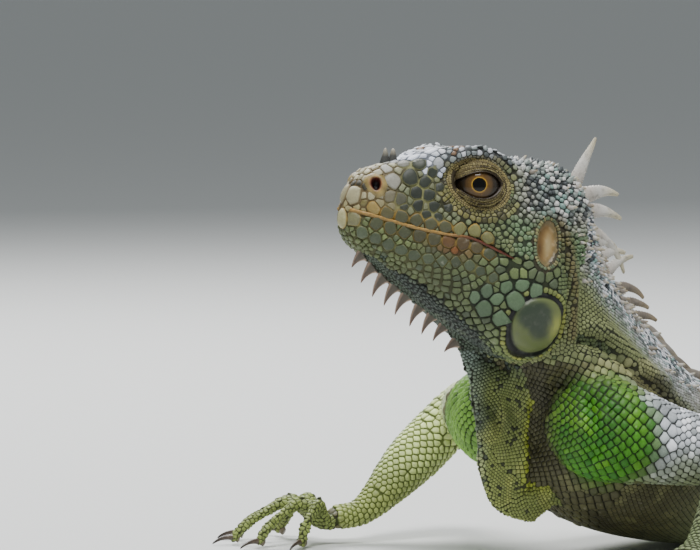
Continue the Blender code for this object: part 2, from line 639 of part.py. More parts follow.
def anchors():
    """A place inside each part that the cuts leave."""
    found = {
        "head": head_point(-0.035, 0, 0.012),
        "lower_jaw": head_point(-0.030, 0, -0.010),
        "neck": Vector((-0.001, -0.004, 0.100)),
        "chest": Vector((0.080, 0, 0.025)),
        "belly": Vector((0.185, 0, 0.025)),
    }
    for number, share in enumerate((0.10, 0.30, 0.50, 0.70, 0.90), 1):
        place, _, _ = tail_places()[round(share * TAIL_STEPS)]
        found[f"tail_{number}"] = Vector((place.x, place.y, 0.004))
    for kinds, limbs in ((("forearm_", "hand_"), FORELEGS), (("shank_", "foot_"), HINDLEGS)):
        for side, limb in limbs.items():
            found[kinds[0] + side] = Vector(limb["joints"][4])
            found[kinds[1] + side] = Vector(limb["joints"][6])
    return found


def mesh_tree(obj):
    return BVHTree.FromPolygons([v.co for v in obj.data.vertices], [p.vertices for p in obj.data.polygons])


def depth_inside(tree, place):
    """How deep a place lies in a closed solid, or less than nothing if it lies outside."""
    crossings, origin = 0, place
    while origin:
        hit, _, _, _ = tree.ray_cast(origin, Vector((0.02, 0.03, 1)).normalized())
        origin = hit + Vector((0.02, 0.03, 1)) * 1e-6 if hit else None
        crossings += bool(hit)
    distance = tree.find_nearest(place)[3]
    return distance if crossings % 2 else -distance


def name_parts(parts):
    trees = [mesh_tree(part) for part in parts]
    for name, place in anchors().items():
        parts[int(np.argmax([depth_inside(tree, place) for tree in trees]))].name = name


# Eyes, ears and cheek shields ---------------------------------------------------------------------------


def side_disc(name, centre, half, thickness, side, surface, grow, proud, collection):
    """A lens set flat against the side of the head."""
    origin = head_point(centre[0], side * centre[1], centre[2])
    inward = head_matrix().to_3x3() @ Vector((0, -side, 0))
    place, normal, _, _ = surface.ray_cast(origin, inward)
    forward = head_matrix().to_3x3() @ Vector((1, 0, 0))
    top = normal.cross(forward).normalized() * side
    ahead = top.cross(normal).normalized()
    rings = []
    for share, depth in ((0.62, 1.0), (1.0, 0.1), (0.94, -1.0)):
        ring = []
        for k in range(14):
            turn = math.tau * k / 14
            along = ahead * math.cos(turn) * (half[0] * share + grow)
            upward = top * math.sin(turn) * (half[1] * share + grow)
            ring.append(place + normal * (proud + depth * (thickness / 2 + grow)) + along + upward)
        rings.append(ring)
    return mesh_object(name, rings, collection)


def set_in(parts, name, piece, cutter):
    boolean(parts[name], cutter, "DIFFERENCE")
    parts[piece.name] = piece


def head_organs(parts, surface, guides, pieces):
    for side, word in ((1, "left"), (-1, "right")):
        centre = head_point(EYE_CENTRE[0], side * EYE_CENTRE[1], EYE_CENTRE[2])
        balls = ((f"eye_{word}", EYE_RADIUS, pieces), (f"socket_{word}", EYE_RADIUS + GAP, guides))
        for name, radius, group in balls:
            bpy.ops.mesh.primitive_uv_sphere_add(segments=12, ring_count=6, radius=radius, location=centre)
            ball = bpy.context.object
            ball.name = name
            move_to(ball, group)
        set_in(parts, "head", bpy.data.objects[f"eye_{word}"], bpy.data.objects[f"socket_{word}"])
        for name, disc in (
            ("ear", (EAR_CENTRE, EAR_HALF, EAR_THICKNESS, side, surface)),
            ("cheek_shield", (SHIELD_CENTRE, SHIELD_HALF, SHIELD_THICKNESS, side, surface)),
        ):
            proud = EAR_PROUD if name == "ear" else SHIELD_PROUD
            piece = side_disc(f"{name}_{word}", *disc, 0, proud, pieces)
            cutter = side_disc(f"{name}_{word}_seat", *disc, GAP, proud, guides)
            set_in(parts, "head", piece, cutter)


# Spines, spikes, horns and claws ------------------------------------------------------------------------


def horn_rings(root, direction, bend_axis, bend, length, base, tip, side_axis, steps=2):
    """A bent, flattened cone. base and tip are half sizes (in the plane of the bend, across it)."""
    rings, place, heading = [], Vector(root), Vector(direction).normalized()
    for i in range(steps + 1):
        share = i / steps
        size = [b + (t - b) * share**0.85 for b, t in zip(base, tip)]
        wide = side_axis.cross(heading).normalized()
        ring = []
        for k in range(4):
            turn = math.tau * k / 4
            ring.append(place + wide * math.cos(turn) * size[0] + side_axis * math.sin(turn) * size[1])
        rings.append(ring)
        place = place + heading * length / steps
        heading = Matrix.Rotation(math.radians(bend) / steps, 3, bend_axis) @ heading
    return rings


def add_horn(owners, name, rings, guides):
    owners.setdefault(name, []).append(mesh_object(f"{name}_horn_{len(owners.get(name, []))}", rings, guides))


def back_spines(surface, owners, guides):
    """The crest from the nape to the root of the tail, each spine leaning back."""
    for number, (place, left, direction, length, bend) in enumerate(crest(), 1):
        root, _, _, _ = surface.find_nearest(place)
        base = [half * min(1, 0.45 + length / 0.02) for half in SPINE_BASE_HALF]
        steps = 3 if number <= len(NAPE_SPINES) else 1
        rings = horn_rings(root - direction * SPINE_SINK, direction, left, -bend, length + SPINE_SINK, base,
                           SPINE_TIP_HALF, left, steps=steps)
        owner = next((name for name, last in CREST_OWNERS if number <= last), "tail_1")
        add_horn(owners, owner, rings, guides)


def fan_spikes(owners, guides):
    """Flat teeth along the free edge of the throat fan."""
    edge, root = smooth_rows(FAN_EDGE, 8), smooth_rows(FAN_ROOT, 8)
    along = np.concatenate([[0], np.cumsum(np.linalg.norm(np.diff(edge, axis=0), axis=1))])
    for reach, length in FAN_SPIKES:
        here, inner, past = (Vector([np.interp(place, along, line[:, i]) for i in range(3)])
                             for place, line in ((reach, edge), (reach, root), (reach + 0.001, edge)))
        tangent = (past - here).normalized()
        side_axis = (here - inner).cross(tangent).normalized()
        out = tangent.cross(side_axis)
        direction = (out + tangent * FAN_SPIKE_SLANT).normalized()
        rings = horn_rings(here - direction * FAN_SPIKE_SINK, direction, side_axis, FAN_SPIKE_BEND,
                           length + FAN_SPIKE_SINK, FAN_SPIKE_BASE_HALF, FAN_SPIKE_TIP_HALF, side_axis)
        add_horn(owners, "throat_fan", rings, guides)


def snout_horns(surface, owners, guides):
    side_axis = head_matrix().to_3x3() @ Vector((0, 1, 0))
    up = head_matrix().to_3x3() @ Vector((0.1, 0, 1))
    for forward, length in SNOUT_HORNS:
        root, _, _, _ = surface.ray_cast(head_point(forward, 0, 0.05), -up)
        rings = horn_rings(root - up * SNOUT_HORN_SINK, up, side_axis, SNOUT_HORN_BEND,
                           length + SNOUT_HORN_SINK, SNOUT_HORN_HALF, SNOUT_HORN_TIP_HALF, side_axis)
        add_horn(owners, "head", rings, guides)


def claws(owners, guides):
    for word, limbs, digits in (("hand", FORELEGS, FINGERS), ("foot", HINDLEGS, TOES)):
        for side, limb in limbs.items():
            for path, direction, _ in digit_paths(limb, digits):
                root = path[-1] - direction * CLAW_SINK + Vector((0, 0, 0.0004))
                side_axis = direction.cross(Vector((0, 0, 1))).normalized()
                rise = (direction + Vector((0, 0, CLAW_RISE))).normalized()
                rings = horn_rings(root, rise, side_axis, CLAW_BEND, CLAW_LENGTH + CLAW_SINK, CLAW_HALF,
                                   CLAW_TIP_HALF, side_axis)
                lowest = min(p.z for ring in rings for p in ring)
                lift = Vector((0, 0, max(0.0001 - lowest, 0)))
                add_horn(owners, f"{word}_{side}", [[p + lift for p in ring] for ring in rings], guides)


def join_horns(parts, owners, guides):
    """One union for each part with all the horns that grow from it."""
    for name, horns in owners.items():
        shape = bmesh.new()
        for horn in horns:
            shape.from_mesh(horn.data)
            bpy.data.objects.remove(horn)
        mesh = bpy.data.meshes.new(f"{name}_horns")
        shape.to_mesh(mesh)
        shape.free()
        joined = bpy.data.objects.new(f"{name}_horns", mesh)
        guides.objects.link(joined)
        boolean(parts[name], joined, "UNION")


def centre_on_ground(parts):
    """Puts the origin on the ground under the middle of the whole animal's box."""
    graph = bpy.context.evaluated_depsgraph_get()
    corners = []
    for part in parts:
        mesh = part.evaluated_get(graph).to_mesh()
        corners += [part.matrix_world @ v.co for v in mesh.vertices]
    corners = np.array(corners)
    low, high = corners.min(0), corners.max(0)
    shift = Vector((-(low[0] + high[0]) / 2, -(low[1] + high[1]) / 2, -low[2]))
    for obj in bpy.data.objects:
        obj.location += shift


def main():
    clear_scene()
    pieces = new_collection(PART_NAME)
    guides = new_collection("cutters")
    materials = {name: new_material(name, *looks) for name, looks in MATERIALS.items()}
    head_flesh(guides)
    body_flesh(guides)
    fan_flesh("fan_flesh", guides, steps=2)
    for kind, limbs, radii, digits in (("foreleg", FORELEGS, FORELEG_RADII, FINGERS),
                                       ("hindleg", HINDLEGS, HINDLEG_RADII, TOES)):
        for side, limb in limbs.items():
            rounded_tube(f"{kind}_{side}", limb["joints"], radii, guides, sides=14, steps=4)
            digit_flesh(f"{kind}_{side}", limb, digits, guides)
    flesh = weld_flesh(list(guides.objects), pieces)
    surface = mesh_tree(flesh)
    parts = {part.name: part for part in part_flesh(flesh, guides, pieces)}
    head_organs(parts, surface, guides, pieces)
    owners = {}
    back_spines(surface, owners, guides)
    fan_spikes(owners, guides)
    snout_horns(surface, owners, guides)
    claws(owners, guides)
    join_horns(parts, owners, guides)
    for guide in [*guides.objects, *bpy.data.collections["flesh_cutters"].objects]:
        guide.hide_render = True
        guide.display_type = "WIRE"
    for name, part in parts.items():
        part.data.materials.clear()
        part.data.materials.append(materials[ORGAN_SLOTS.get(name.split("_")[0], "scaled_skin")])
        part.data.shade_smooth()
        part.data.set_sharp_from_angle(angle=math.radians(40))
    centre_on_ground(parts.values())


main()
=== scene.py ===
import math

import bpy
import numpy as np
from mathutils import Matrix, Vector
from mathutils.bvhtree import BVHTree
from mathutils.kdtree import KDTree


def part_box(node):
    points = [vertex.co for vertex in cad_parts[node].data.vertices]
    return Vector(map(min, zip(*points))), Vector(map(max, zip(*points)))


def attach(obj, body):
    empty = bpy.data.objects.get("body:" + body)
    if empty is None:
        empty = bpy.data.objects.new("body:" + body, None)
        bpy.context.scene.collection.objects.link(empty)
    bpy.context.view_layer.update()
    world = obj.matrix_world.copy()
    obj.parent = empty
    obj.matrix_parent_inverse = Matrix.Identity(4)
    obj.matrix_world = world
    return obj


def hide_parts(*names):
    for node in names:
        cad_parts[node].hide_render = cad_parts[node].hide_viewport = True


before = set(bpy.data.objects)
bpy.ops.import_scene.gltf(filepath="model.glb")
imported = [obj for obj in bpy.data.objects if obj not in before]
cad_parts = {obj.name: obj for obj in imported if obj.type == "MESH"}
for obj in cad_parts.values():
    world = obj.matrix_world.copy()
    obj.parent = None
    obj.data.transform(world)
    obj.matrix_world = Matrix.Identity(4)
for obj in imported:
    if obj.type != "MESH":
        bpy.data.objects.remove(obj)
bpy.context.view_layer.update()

# The studio -----------------------------------------------------------
# A pale floor under the whole animal, and a low camera on its left, a little ahead of it, that holds the head
# and shoulders. One lamp lights it from above, a stronger one from behind, and a weak one from the front.


def middle(node):
    low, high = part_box(node)
    return (low + high) / 2


CAMERA_SIDE, CAMERA_RISE = math.radians(-40), math.radians(4)
CAMERA_REACH = 1.5
VIEW_WIDTH = 0.2258  # metres that the picture takes in at the animal
SENSOR_WIDTH = 36
EYE_RIGHT, EYE_UP, EYE_NEARER = 0.0398, 0.0279, 0.0461  # where the near eye is from the middle of the view
look = Vector((-math.sin(CAMERA_SIDE) * math.cos(CAMERA_RISE), math.cos(CAMERA_SIDE) * math.cos(CAMERA_RISE),
               -math.sin(CAMERA_RISE)))
rightward = Vector((math.cos(CAMERA_SIDE), math.sin(CAMERA_SIDE), 0))
upward = rightward.cross(look)
aim = middle("eye_left") - rightward * EYE_RIGHT - upward * EYE_UP + look * EYE_NEARER
show = bpy.context.scene.collection.objects.link
camera = bpy.data.objects.new("camera", bpy.data.cameras.new("camera"))
camera.data.sensor_width = SENSOR_WIDTH
camera.data.lens = SENSOR_WIDTH * CAMERA_REACH / VIEW_WIDTH
camera.data.clip_end = 200
camera.location = aim - look * CAMERA_REACH
camera.rotation_euler = look.to_track_quat("-Z", "Y").to_euler()
show(camera)
bpy.context.scene.camera = camera

bpy.ops.mesh.primitive_plane_add(size=120)
floor = bpy.context.object
floor.name = "floor"
floor_material = bpy.data.materials.new("pale_floor")
floor_material.use_nodes = True
floor_sockets = floor_material.node_tree.nodes["Principled BSDF"].inputs
floor_sockets["Base Color"].default_value = (0.71, 0.72, 0.71, 1)
floor_sockets["Roughness"].default_value = 0.8
floor.data.materials.append(floor_material)

world = bpy.data.worlds.new("studio")
bpy.context.scene.world = world
world.use_nodes = True
sky_sockets = world.node_tree.nodes["Background"].inputs
sky_sockets["Color"].default_value = (0.80, 0.86, 0.88, 1)
sky_sockets["Strength"].default_value = 0.33
for name, place, size, power in (  # place from the middle of the view, width in metres, watts
    ("key", (-0.30, -0.42, 1.20), 0.5, 20),
    ("fill", (0.75, -0.95, 0.5), 1.2, 2),
    ("back", (0.35, 0.85, 0.95), 0.8, 24),
):
    lamp = bpy.data.objects.new(name, bpy.data.lights.new(name, "AREA"))
    lamp.data.size = size
    lamp.data.energy = power
    lamp.location = aim + Vector(place)
    lamp.rotation_euler = (-Vector(place)).to_track_quat("-Z", "Y").to_euler()
    lamp.visible_camera = False
    show(lamp)

# The flesh ------------------------------------------------------------
# The animal under its scales: head, neck, trunk and tail in one soft tapering body, four limbs with five
# digits each, and the thin fan under the throat. The lofts are those of the frame, run finer.

SNOUT_TIP = Vector((-0.0834, 0.0100, 0.1165))
HEAD_TURNED, HEAD_RAISED = math.radians(13), math.radians(13.8)
head_place = (Matrix.Translation(SNOUT_TIP) @ Matrix.Rotation(math.pi - HEAD_TURNED, 4, "Z")
              @ Matrix.Rotation(-HEAD_RAISED, 4, "Y"))
EYE_CENTRE = (-0.0388, 0.0118, 0.0160)
EYE_RADIUS = 0.0075


def head_point(forward, left, up):
    return head_place @ Vector((forward, left, up))


home = middle("eye_left") - head_point(*EYE_CENTRE)


def metres(table):
    """A table of millimetres in metres."""
    return tuple(metres(row) for row in table) if isinstance(table, tuple) else table / 1000


# forward, then crown, brow, cheek, lip, jaw and throat as (left, up)
HEAD_SECTIONS = metres((
    (0, (0, 8.5), (4, 7.5), (5.5, 4), (5.5, -1), (4, -6), (0, -7.8)),
    (-3, (0, 14), (6, 12.5), (8.5, 6.5), (8.5, -1), (6.2, -9), (0, -11)),
    (-8, (0, 17.2), (7.5, 15.8), (10.5, 9), (10.8, -1), (7.8, -11.2), (0, -13.5)),
    (-16, (0, 20.5), (8.5, 19.2), (11.8, 11), (12.8, -1.5), (9.2, -13.5), (0, -16.5)),
    (-25, (0, 24.8), (10.5, 25), (13.5, 14), (15.2, -2), (11.2, -16.5), (0, -20)),
    (-38, (0, 26.2), (13.5, 28.4), (17.2, 15), (18.4, -3), (14.2, -21.5), (0, -26)),
    (-50, (0, 27.2), (13.2, 26.2), (19, 13), (21.2, -5), (17.2, -26.8), (0, -31)),
    (-62, (0, 29.2), (12, 26.2), (19.5, 11), (23, -8), (18.8, -30.5), (0, -35)),
    (-72, (0, 28.8), (12, 25), (19, 9), (22.2, -11), (17.2, -30.5), (0, -35)),
    (-80, (0, 23.5), (10.5, 20), (16.5, 6), (18, -10), (13, -25), (0, -29)),
))
# the back's place and the belly's (x, z), the midline's y, half the width
RIBS = metres((
    ((-10, 124.5), (-34, 76), -3, 18),
    ((4.5, 119.5), (-27, 64), -3, 20),
    ((10.8, 102), (-20.5, 53), -2.5, 20.8),
    ((22.5, 87), (-17, 40), -1.5, 23.8),
    ((39.2, 71.5), (-13, 26), 0, 27.5),
    ((59, 56), (8, 11), 0, 31.5),
    ((82, 53), (44, 2), 0, 34.5),
    ((110, 57.5), (85, -0.8), 0, 39.5),
    ((140, 60), (125, -1), 0, 42),
    ((170, 57), (165, -1), 0, 39.5),
    ((198, 50), (198, -0.8), 0, 33),
    ((220, 45), (220, -0.4), 0, 26.5),
))
BACK_PEAK = 0.26
BELLY_SPREAD = 0.14
TAIL_START = Vector((0.2200, 0.0000))
TAIL_LENGTH = 0.800
TAIL_STEPS = 20
CURL, CURL_SHARE = math.radians(-158), 0.66  # it bends round over this share of its length
UNCURL, UNCURL_SHARE = math.radians(34), 0.34  # and opens again over the rest
TAIL_HALF_HEIGHTS = metres((22.2, 19, 16, 12.5, 9.8, 7.6, 5.8, 4.2, 3, 2.2, 1.4))
TAIL_HALF_WIDTHS = metres((26.2, 19.5, 15, 11.2, 8.6, 6.6, 5, 3.7, 2.7, 2, 1.2))
FLAT = 0.0005
FAN_EDGE = metres(((-79, 9, 102), (-71.5, 8.5, 94.8), (-60.5, 7, 87), (-46, 4.5, 76.5), (-39.5, 3, 65),
                   (-36.8, 1.5, 54), (-36, 0.5, 41.5), (-34.5, 0, 29), (-28, 0, 18), (-13, 0, 12.5)))
FAN_ROOT = metres(((-70, 7, 105), (-56, 4.5, 101), (-42, 1, 94), (-26, -2, 83.5), (-19, -2, 74), (-13, -1, 60),
                   (-8, 0, 48), (-4, 0, 40), (2, 0, 32), (8, 0, 28)))
# share of the way from the fan's edge to its root, half width
FAN_LEAF = ((0.0, 0.00095), (0.06, 0.0019), (0.5, 0.0042), (1.0, 0.0080))
# each limb's joints from the middle of the body out, the way that its middle digit points, which side of that
# its outer digits are on, and how high the digits arch
FORELEGS = (
    (metres(((-4, -12, 45), (-5, -24, 45), (17, -36.5, 38.5), (38.5, -48, 34), (21, -56, 23), (3, -62, 10.5),
             (-7, -65.5, 7))), 200, 1, 0.0085),
    (metres(((-4, 12, 45), (-4, 26, 45), (6, 47, 44), (15, 66, 42), (-2, 72, 26), (-18, 76, 11),
             (-27, 80.5, 8.5))), 150, -1, 0.0140),
)
HINDLEGS = (
    (metres(((202, -16, 27), (193, -33, 30), (173, -60, 37), (150, -85, 40), (182, -102, 26), (214, -116, 12),
             (201, -128, 7))), 208, 1, 0.0080),
    (metres(((202, 16, 27), (195, 33, 30), (180, 61, 37), (160, 88, 40), (195, 102, 26), (230, 112, 12),
             (219, 126, 7))), 146, -1, 0.0080),
)
FORELEG_RADII = metres(((12, 13), (15, 17), (11.2, 12.5), (8.8, 9.5), (9, 8.8), (5.6, 5), (7, 4.2)))
HINDLEG_RADII = metres(((15, 17), (17.5, 18.5), (15, 16), (10.5, 11.2), (10.8, 11.2), (6.8, 6.6), (9, 5)))
FINGERS = ((-48, 0.0155), (-22, 0.0240), (0, 0.0285), (21, 0.0275), (50, 0.0190))  # turned out by, length
TOES = ((-34, 0.0180), (-16, 0.0290), (0, 0.0400), (17, 0.0510), (62, 0.0310))
DIGIT_RADIUS = 0.0028
DIGIT_TIP_RADIUS = 0.0019
KNUCKLE_REACH, KNUCKLE_HEIGHT = 0.0062, 0.0050
DIGIT_ARCH = ((0, 0.55), (0.30, 1.0), (0.62, 0.72), (0.86, 0.38), (1.0, 0.0))  # shares of its length and height
WELD_SIZE = 0.00125


def smooth_rows(rows, steps):
    """A curve through every row of numbers, with this many points to a span."""
    rows = np.array(rows, float)
    padded = np.vstack([2 * rows[0] - rows[1], rows, 2 * rows[-1] - rows[-2]])
    found = []
    for i in range(len(rows) - 1):
        a, b, c, d = padded[i : i + 4]
        for t in np.arange(steps) / steps:
            found.append(0.5 * (2 * b + (c - a) * t + (2 * a - 5 * b + 4 * c - d) * t**2
                                + (3 * b - a - 3 * c + d) * t**3))
    found.append(rows[-1])
    return np.array(found)


def unit(vectors):
    return vectors / np.maximum(np.linalg.norm(vectors, axis=-1, keepdims=True), 1e-12)


def tube_rings(path, radii, sides, steps):
    points, sizes = smooth_rows(path, steps), smooth_rows(radii, steps)
    turns = np.arange(sides) * math.tau / sides
    rings = []
    for i, point in enumerate(points):
        along = unit(points[min(i + 1, len(points) - 1)] - points[max(i - 1, 0)])
        across = unit(np.cross(along, (0, 0, 1)))
        top = np.cross(across, along)
        rings.append(point + np.outer(np.cos(turns), across) * sizes[i][0] + np.outer(np.sin(turns), top)
                     * sizes[i][1])
    return np.array(rings)


def round_ends(rings, reach):
    """Closes a tube to a small cap past each of its ends."""
    for end, into in ((0, 1), (-1, -2)):
        centre = rings[end].mean(0)
        past = unit(centre - rings[into].mean(0)) * reach[end]
        cap = centre + past + (rings[end] - centre) * 0.45
        rings = np.concatenate([[cap], rings] if end == 0 else [rings, [cap]])
    return rings


def head_rings():
    rows = []
    for forward, *half in HEAD_SECTIONS:
        mirrored = [(-left, up) for left, up in reversed(half[1:-1])]
        rows.append([(forward, left, up) for left, up in [*half, *mirrored]])
    rings = []
    for section in smooth_rows(np.array(rows).reshape(len(rows), -1), 5).reshape(-1, 10, 3):
        closed = np.vstack([section[-1], section, section[:2]])
        rings.append([head_point(*point) for point in smooth_rows(closed, 5)[5:-10]])
    rings = np.array(rings)
    centre = rings[0].mean(0)
    nose = centre + (rings[0] - centre) * 0.6 + np.array(head_point(0.0012, 0, 0) - SNOUT_TIP)
    return np.concatenate([[nose], rings])


def tail_places():
    """(place on the ground, heading, share of the length) at each step along the tail."""
    place, found = TAIL_START.copy(), []
    for i in range(TAIL_STEPS + 1):
        share = i / TAIL_STEPS
        bend = min(share / CURL_SHARE, 1)
        opening = max((share - CURL_SHARE) / UNCURL_SHARE, 0)
        heading = CURL * bend * bend * (3 - 2 * bend) + UNCURL * opening**1.5
        found.append((place.copy(), heading, share))
        place += Vector((math.cos(heading), math.sin(heading))) * TAIL_LENGTH / TAIL_STEPS
    return found


def body_rows():
    """Each section of neck, trunk and tail as its centre, way up, way across, half height and half width."""
    rows = []
    for back, belly, y, wide in RIBS:
        top, low = Vector((back[0], y, back[1])), Vector((belly[0], y, belly[1]))
        rows.append([*(top + low) / 2, *(top - low).normalized(), 0, 1, 0, (top - low).length / 2, wide])
    shares = np.linspace(0, 1, len(TAIL_HALF_HEIGHTS))
    for place, heading, share in tail_places()[1:]:
        high, wide = np.interp(share, shares, TAIL_HALF_HEIGHTS), np.interp(share, shares, TAIL_HALF_WIDTHS)
        rows.append([place.x, place.y, high - FLAT, 0, 0, 1, -math.sin(heading), math.cos(heading), 0, high,
                     wide])
    return np.array(rows)


def body_ring(row, turns):
    centre, up, across, high, wide = row[:3], row[3:6], row[6:9], row[9], row[10]
    rise = np.sin(turns)
    reach = wide * np.cos(turns) * (1 - BELLY_SPREAD * rise - BACK_PEAK * np.maximum(rise, 0) ** 2)
    return centre + np.outer(high * rise, up) + np.outer(reach, across)


def fan_rings(steps):
    edge, root = smooth_rows(FAN_EDGE, steps), smooth_rows(FAN_ROOT, steps)
    rings = []
    for a, b in zip(edge, root):
        left = [a + (b - a) * share + (0, -half, 0) for share, half in FAN_LEAF]
        right = [a + (b - a) * share + (0, half, 0) for share, half in reversed(FAN_LEAF)]
        rings.append([*left, *right])
    return np.array(rings)


def digit_paths(limb, digits):
    """Each digit's path from palm to tip, and the way it points."""
    joints, pointing, side, arch = limb
    palm = Vector(joints[-1])
    found = []
    for turn, length in digits:
        heading = math.radians(pointing + side * turn)
        direction = Vector((math.cos(heading), math.sin(heading), 0))
        knuckle = palm + direction * KNUCKLE_REACH
        knuckle.z = KNUCKLE_HEIGHT
        path = [palm.lerp(knuckle, 0.3)]
        for share, height in DIGIT_ARCH:
            point = knuckle + direction * length * share
            low = DIGIT_TIP_RADIUS - FLAT * 0.6
            point.z = low + (arch - low) * height if share else palm.z * 0.8
            path.append(point)
        found.append((path, direction))
    return found


def ring_faces(rings, turns):
    """Four-sided faces between rings of this many points."""
    faces = []
    for i in range(rings - 1):
        for k in range(turns):
            n = (k + 1) % turns
            faces.append((i * turns + k, i * turns + n, (i + 1) * turns + n, (i + 1) * turns + k))
    return faces


def digit_radii(path):
    sizes = np.linspace(DIGIT_RADIUS, DIGIT_TIP_RADIUS, len(path)) * (1 + 0.10 * (-1.0) ** np.arange(len(path)))
    sizes[-1] = DIGIT_TIP_RADIUS
    return np.stack([sizes, sizes], axis=1)


turns = np.arange(56) * math.tau / 56
lofts = [head_rings(), np.array([body_ring(row, turns) for row in smooth_rows(body_rows(), 6)]), fan_rings(4)]
for limbs, radii, digits in ((FORELEGS, FORELEG_RADII, FINGERS), (HINDLEGS, HINDLEG_RADII, TOES)):
    for limb in limbs:
        reach = {0: radii[0][0] * 0.55, -1: radii[-1][0] * 0.55}
        lofts.append(round_ends(tube_rings(limb[0], radii, 28, 8), reach))
        for path, _ in digit_paths(limb, digits):
            ends = {0: 0.0015, -1: DIGIT_TIP_RADIUS * 0.55}
            lofts.append(round_ends(tube_rings(path, digit_radii(path), 14, 4), ends))

points, faces = [], []
for rings in lofts:
    start, (count, sides) = len(points), rings.shape[:2]
    points += rings.reshape(-1, 3).tolist()
    faces += [[start + k for k in range(sides)], [start + (count - 1) * sides + k for k in range(sides)]]
    faces += [[start + i for i in face] for face in ring_faces(count, sides)]
flesh = bpy.data.objects.new("flesh", bpy.data.meshes.new("flesh"))
flesh.data.from_pydata(points, [], faces)
show(flesh)


def finished_mesh(piece):
    """A plain mesh of the piece as its modifiers leave it."""
    return bpy.data.meshes.new_from_object(piece.evaluated_get(bpy.context.evaluated_depsgraph_get()))


weld = flesh.modifiers.new("weld", "REMESH")
weld.mode = "VOXEL"
weld.voxel_size = WELD_SIZE
relax = flesh.modifiers.new("relax", "SMOOTH")
relax.factor = 0.5
relax.iterations = 4
made = finished_mesh(flesh)
bpy.data.objects.remove(flesh)

# The skin -------------------------------------------------------------
# One soft skin over all the flesh, half a millimetre under the tops of the scales. It is gathered into folds
# at the lips, over the eye, under the jaw, behind the cheek, before the shoulder and down the throat fan.

COAT_DEPTH = 0.0005
EYE_AXIS = unit(np.array((math.sin(math.radians(24)), math.cos(math.radians(24)), 0.0)))
OPENING_CENTRE, OPENING_HALF, OPENING_TILT = (-0.0370, 0.0161), (0.0067, 0.0041), math.radians(-13)
LID_CENTRE = (-0.0376, 0.0163)  # forward, up
LID_HALF = (0.0101, 0.0079)
NOSTRIL = (-0.0062, 0.0090)
EAR_CENTRE = (-0.0628, 0.0032)
EAR_HALF = (0.0036, 0.0066)
SHIELD_CENTRE = (-0.0658, -0.0224)
SHIELD_HALF = (0.0090, 0.0088)
LIP_LINE = metres(((2, -0.2), (-10.5, -0.8), (-20.8, -1.4), (-29.3, -1.3), (-37.7, -0.6), (-43.7, -1.8),
                   (-49.8, -3.3), (-55.2, -4.3)))
JAW_LINE = metres(((0, -8.2), (-13.9, -13.2), (-26, -16.8), (-34.8, -20.2), (-46.3, -26.4), (-53.6, -30.2),
                   (-60.5, -33), (-70, -34.5)))
BEHIND_CHEEK = metres(((-66.8, 11), (-71.5, 1.3), (-75.8, -7), (-79, -15), (-81.5, -23)))
# profile line in the head's own axes, half width, height (a groove is negative)
HEAD_FOLDS = ((LIP_LINE, 0.0008, -0.0011), (JAW_LINE, 0.0016, -0.0014), (BEHIND_CHEEK, 0.0017, 0.0012)) + metres((
    (((-37.7, 2), (-44, 0.5), (-50, -1.2), (-55, -2.8)), 1.1, 0.7),
    (((-23, 18.5), (-31, 24.8), (-37.8, 28), (-43, 27.8), (-46.8, 25), (-50, 21.5)), 1.6, 1.3),
    (((-25, 15), (-31, 21.5), (-37.8, 24.7), (-43, 24.5), (-47, 21.5)), 1.2, -1),
    (((-25.6, 9.9), (-30.6, 6), (-39, 5), (-47.4, 9)), 1.1, 0.8),
    (((-65, 13), (-69, 1.3), (-73.3, -7), (-75.8, -15), (-77.5, -23)), 1.3, -1.3)))
# the same for neck, chest and fan, as (x, z)
BODY_FOLDS = metres((
    (((-12, 73.5), (-3.3, 71.5), (11.9, 61.2), (24, 54.5), (34, 48)), 1.8, -2.4),
    (((-9, 77.8), (0, 75.2), (14, 65.5), (27, 57.5)), 2.2, 1.5),
    (((-9.8, 70), (-9.4, 61.8), (-7.6, 57.3)), 1.6, 1.3),
    (((-34, 68), (-18.4, 59), (-12.1, 51.9)), 1.9, -1.6),
    (((-21.5, 64), (-20.8, 59), (-19.4, 47.7), (-19.8, 36.6), (-19, 26)), 1.8, 1.9),
    (((-16, 62), (-15, 50), (-14.5, 38)), 2.3, -2.4),
    (((4, 108), (0, 96), (3, 84)), 2, -1.2),
    (((55, 45), (60, 30), (66, 20)), 4, -1.4)))


def line_distance(places, line):
    """How far each place of a plane is from a bent line."""
    line = np.array(line)
    best = np.full(len(places), 1.0)
    for a, b in zip(line[:-1], line[1:]):
        share = np.clip(((places - a) @ (b - a)) / ((b - a) @ (b - a)), 0, 1)
        best = np.minimum(best, np.linalg.norm(places - a - share[:, None] * (b - a), axis=1))
    return best


def ramp(values, low, high):
    share = np.clip((values - low) / (high - low), 0, 1)
    return share * share * (3 - 2 * share)


def oval_reach(places, centre, half):
    """How far out places of the head's profile are in an oval, where 1 is its outline."""
    return np.hypot((places[..., 0] - centre[0]) / half[0], (places[..., 2] - centre[1]) / half[1])


def array_of(collection, name, width, kind=float):
    found = np.zeros(len(collection) * width, kind)
    collection.foreach_get(name, found)
    return found.reshape(-1, width)


head_turn = np.array(head_place.to_3x3())
head_origin = np.array(SNOUT_TIP)


def to_head(places):
    return (places - head_origin) @ head_turn


skin = array_of(made.vertices, "co", 3)
outward = array_of(made.vertex_normals, "vector", 3)
in_head = to_head(skin)
thicker = ramp(in_head[:, 0], -0.095, -0.070) * 0.0004 + ramp(in_head[:, 0], -0.030, -0.006) * 0.0011
